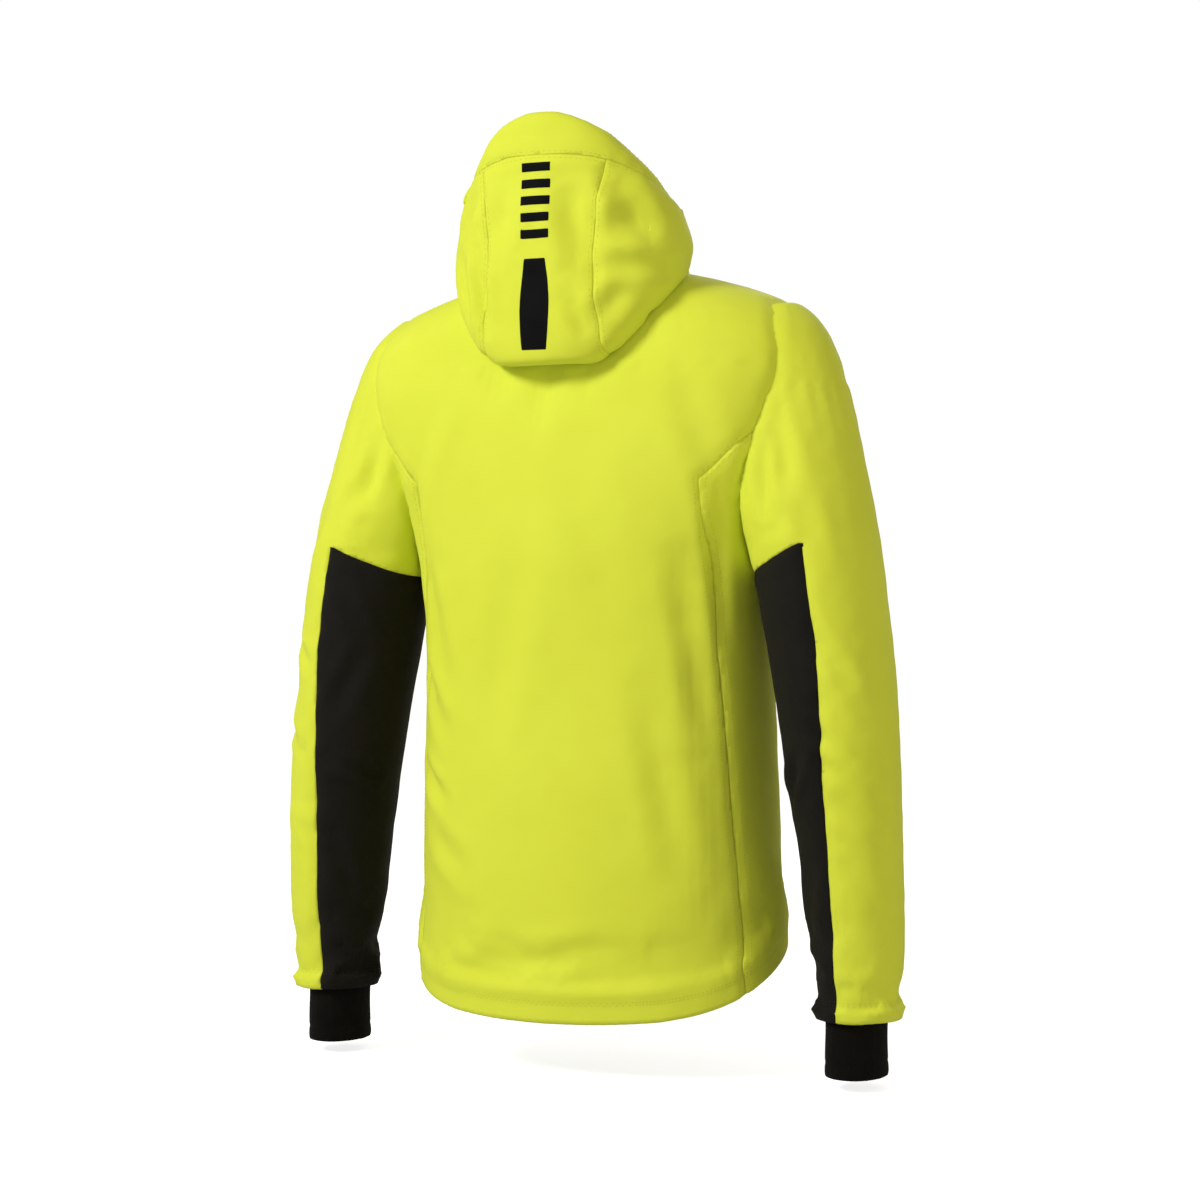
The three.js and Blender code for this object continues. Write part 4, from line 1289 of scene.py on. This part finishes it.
points = points_in(body_net)
rows = []
for sign in (1, -1):
    for back in (True, False):
        for beside in (0.0045, -0.0045):

            def wanted(p, sign=sign, back=back):
                return p.x * sign > 0 and (p.y > AXIS.y) == back and p.z < AXIS.z + 0.185

            rows.append(row_on(body_net, side_gap(points) + beside, wanted, lambda p: p.z))
columns = np.arctan2(points[:, 1] - AXIS.y + 0.004, points[:, 0]) % (2 * math.pi)
hem_turns = 2 * math.pi * (np.arange(BODY_COLUMNS) + 0.5) / BODY_COLUMNS
hem_rise = points[:, 2] - np.interp(columns, hem_turns, hem, period=2 * math.pi)
for rise in (0.019, 0.0215):
    rows.append(row_on(body_net, hem_rise - rise, lambda p: True, turn_of))
stitches("body_stitches", rows, THREAD, "jacket")

for side, sign in SIDES:
    net = sleeve_net[side]
    points = points_in(net)
    foot_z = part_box(f"forearm_outer_{side}")[0][2]

    def round_wrist(p, side=side):
        middle = sleeve_centre(side)(p.z)
        return math.atan2(p.y - middle.y, p.x - middle.x)

    for half, black in (("outer", False), ("inner", True)):

        def on_half(p, black=black):
            return (black_gap(np.array([p]))[0] < 0) == black

        lifts = [points[:, 2] - foot_z - rise for rise in (0.018, 0.0205)]
        rows = [row_on(net, lift, on_half, round_wrist) for lift in lifts]
        thread = BLACK_THREAD if black else THREAD
        stitches(f"wrist_stitches_{half}_{side}", rows, thread, f"forearm_{side}")

points = points_in(hood_net)
rows = []
for sign in (1, -1):
    for beside in (0.0035, -0.0035):
        rows.append(
            row_on(
                hood_net,
                hood_seam_gap(points) + beside,
                lambda p, sign=sign: p.x * sign > 0 and p.y > AXIS.y + 0.03 and abs(p.x) < 0.1,
                lambda p: p.z,
            )
        )
gaps = [brim_gap(points) + beside for beside in (0.0035, -0.0035)] + [mouth_gap(points) + 0.016]
for gap in gaps:
    rows.append(row_on(hood_net, gap, lambda p: p.y > HINGE.y + 0.02, lambda p: p.x))
stitches("hood_stitches", rows, THREAD, "hood")

# %% [markdown]
# The small hard pieces keep their solids, with finishes of their own.

# %% Finishes of the other pieces
FINISHES = {
    "collar_lining": BRUSHED,
    "storm_flap": TAFFETA,
    "zip_tape": TAPE,
    "zip_retainer_box": ACETAL,
    "zip_slider": GUNMETAL,
    "zip_pull": ACETAL,
    "pocket_zip": TAPE,
    "pocket_slider": GUNMETAL,
    "pocket_pull": ACETAL,
    "pocket_bag": BRUSHED,
    "snow_skirt": TAFFETA,
    "hanger_loop": TAPE,
    "hem_cord_lock": ACETAL,
    "hem_cord_button": ACETAL,
}
finished = 0
for name, node in frame["nodes"].items():
    for start, material in FINISHES.items():
        if name.startswith(start):
            node.data.materials.clear()
            node.data.materials.append(material)
            finished += 1
print("finished", finished, "carried-over pieces")


# %% [markdown]
# The studio is a white room: a broad key from behind the wearer's left shoulder, so that the
# right sleeve and the hood's right side fall into soft shade, and a weak warm fill beside them.


# %% Studio, size and finish
def add_light(name, place, size, power, colour):
    data = bpy.data.lights.new(name, "AREA")
    data.shape = "DISK"
    data.size = size
    data.energy = power
    data.color = colour
    light = bpy.data.objects.new(name, data)
    light.location = AXIS + Vector(place)
    light.rotation_euler = (AXIS - light.location).to_track_quat("-Z", "Y").to_euler()
    bpy.context.scene.collection.objects.link(light)


add_light("key", (1.4, 2.65, 1.85), 1.0, 84, (1, 0.99, 0.97))
add_light("fill", (-2.6, 1.0, 0.2), 1.6, 11, (1, 0.9, 0.72))
add_light("front", (0.4, -2.6, 1.4), 1.8, 16, (1, 1, 1))

world = bpy.data.worlds.new("studio")
world.use_nodes = True
room = world.node_tree
seen = room.nodes["Background"]
seen.inputs["Color"].default_value = (1, 1, 1, 1)
felt = room.nodes.new("ShaderNodeBackground")
felt.inputs["Color"].default_value = (1, 0.93, 0.78, 1)
felt.inputs["Strength"].default_value = 0.42
path = room.nodes.new("ShaderNodeLightPath")
blend = room.nodes.new("ShaderNodeMixShader")
room.links.new(path.outputs["Is Camera Ray"], blend.inputs[0])
room.links.new(felt.outputs[0], blend.inputs[1])
room.links.new(seen.outputs[0], blend.inputs[2])
room.links.new(blend.outputs[0], room.nodes["World Output"].inputs["Surface"])
bpy.context.scene.world = world
bpy.context.scene.view_settings.view_transform = "Standard"

floor_bm = bmesh.new()
bmesh.ops.create_circle(floor_bm, cap_ends=True, segments=64, radius=30)
bmesh.ops.translate(floor_bm, verts=floor_bm.verts, vec=(0, 0, cad_box[0][2] - 0.012))
floor_material, _, _ = new_material(
    "floor_white",
    Base_Color=(0.62, 0.62, 0.62, 1),
    Roughness=1.0,
    Specular_IOR_Level=0.0,
    Emission_Color=(0.8, 0.8, 0.8, 1),
    Emission_Strength=1.0,
)
glow = floor_material.node_tree
seen = glow.nodes.new("ShaderNodeLightPath").outputs["Is Camera Ray"]
glow.links.new(seen, glow.nodes["Principled BSDF"].inputs["Emission Strength"])
floor = add_object("floor", to_mesh(floor_bm, "floor"), floor_material)
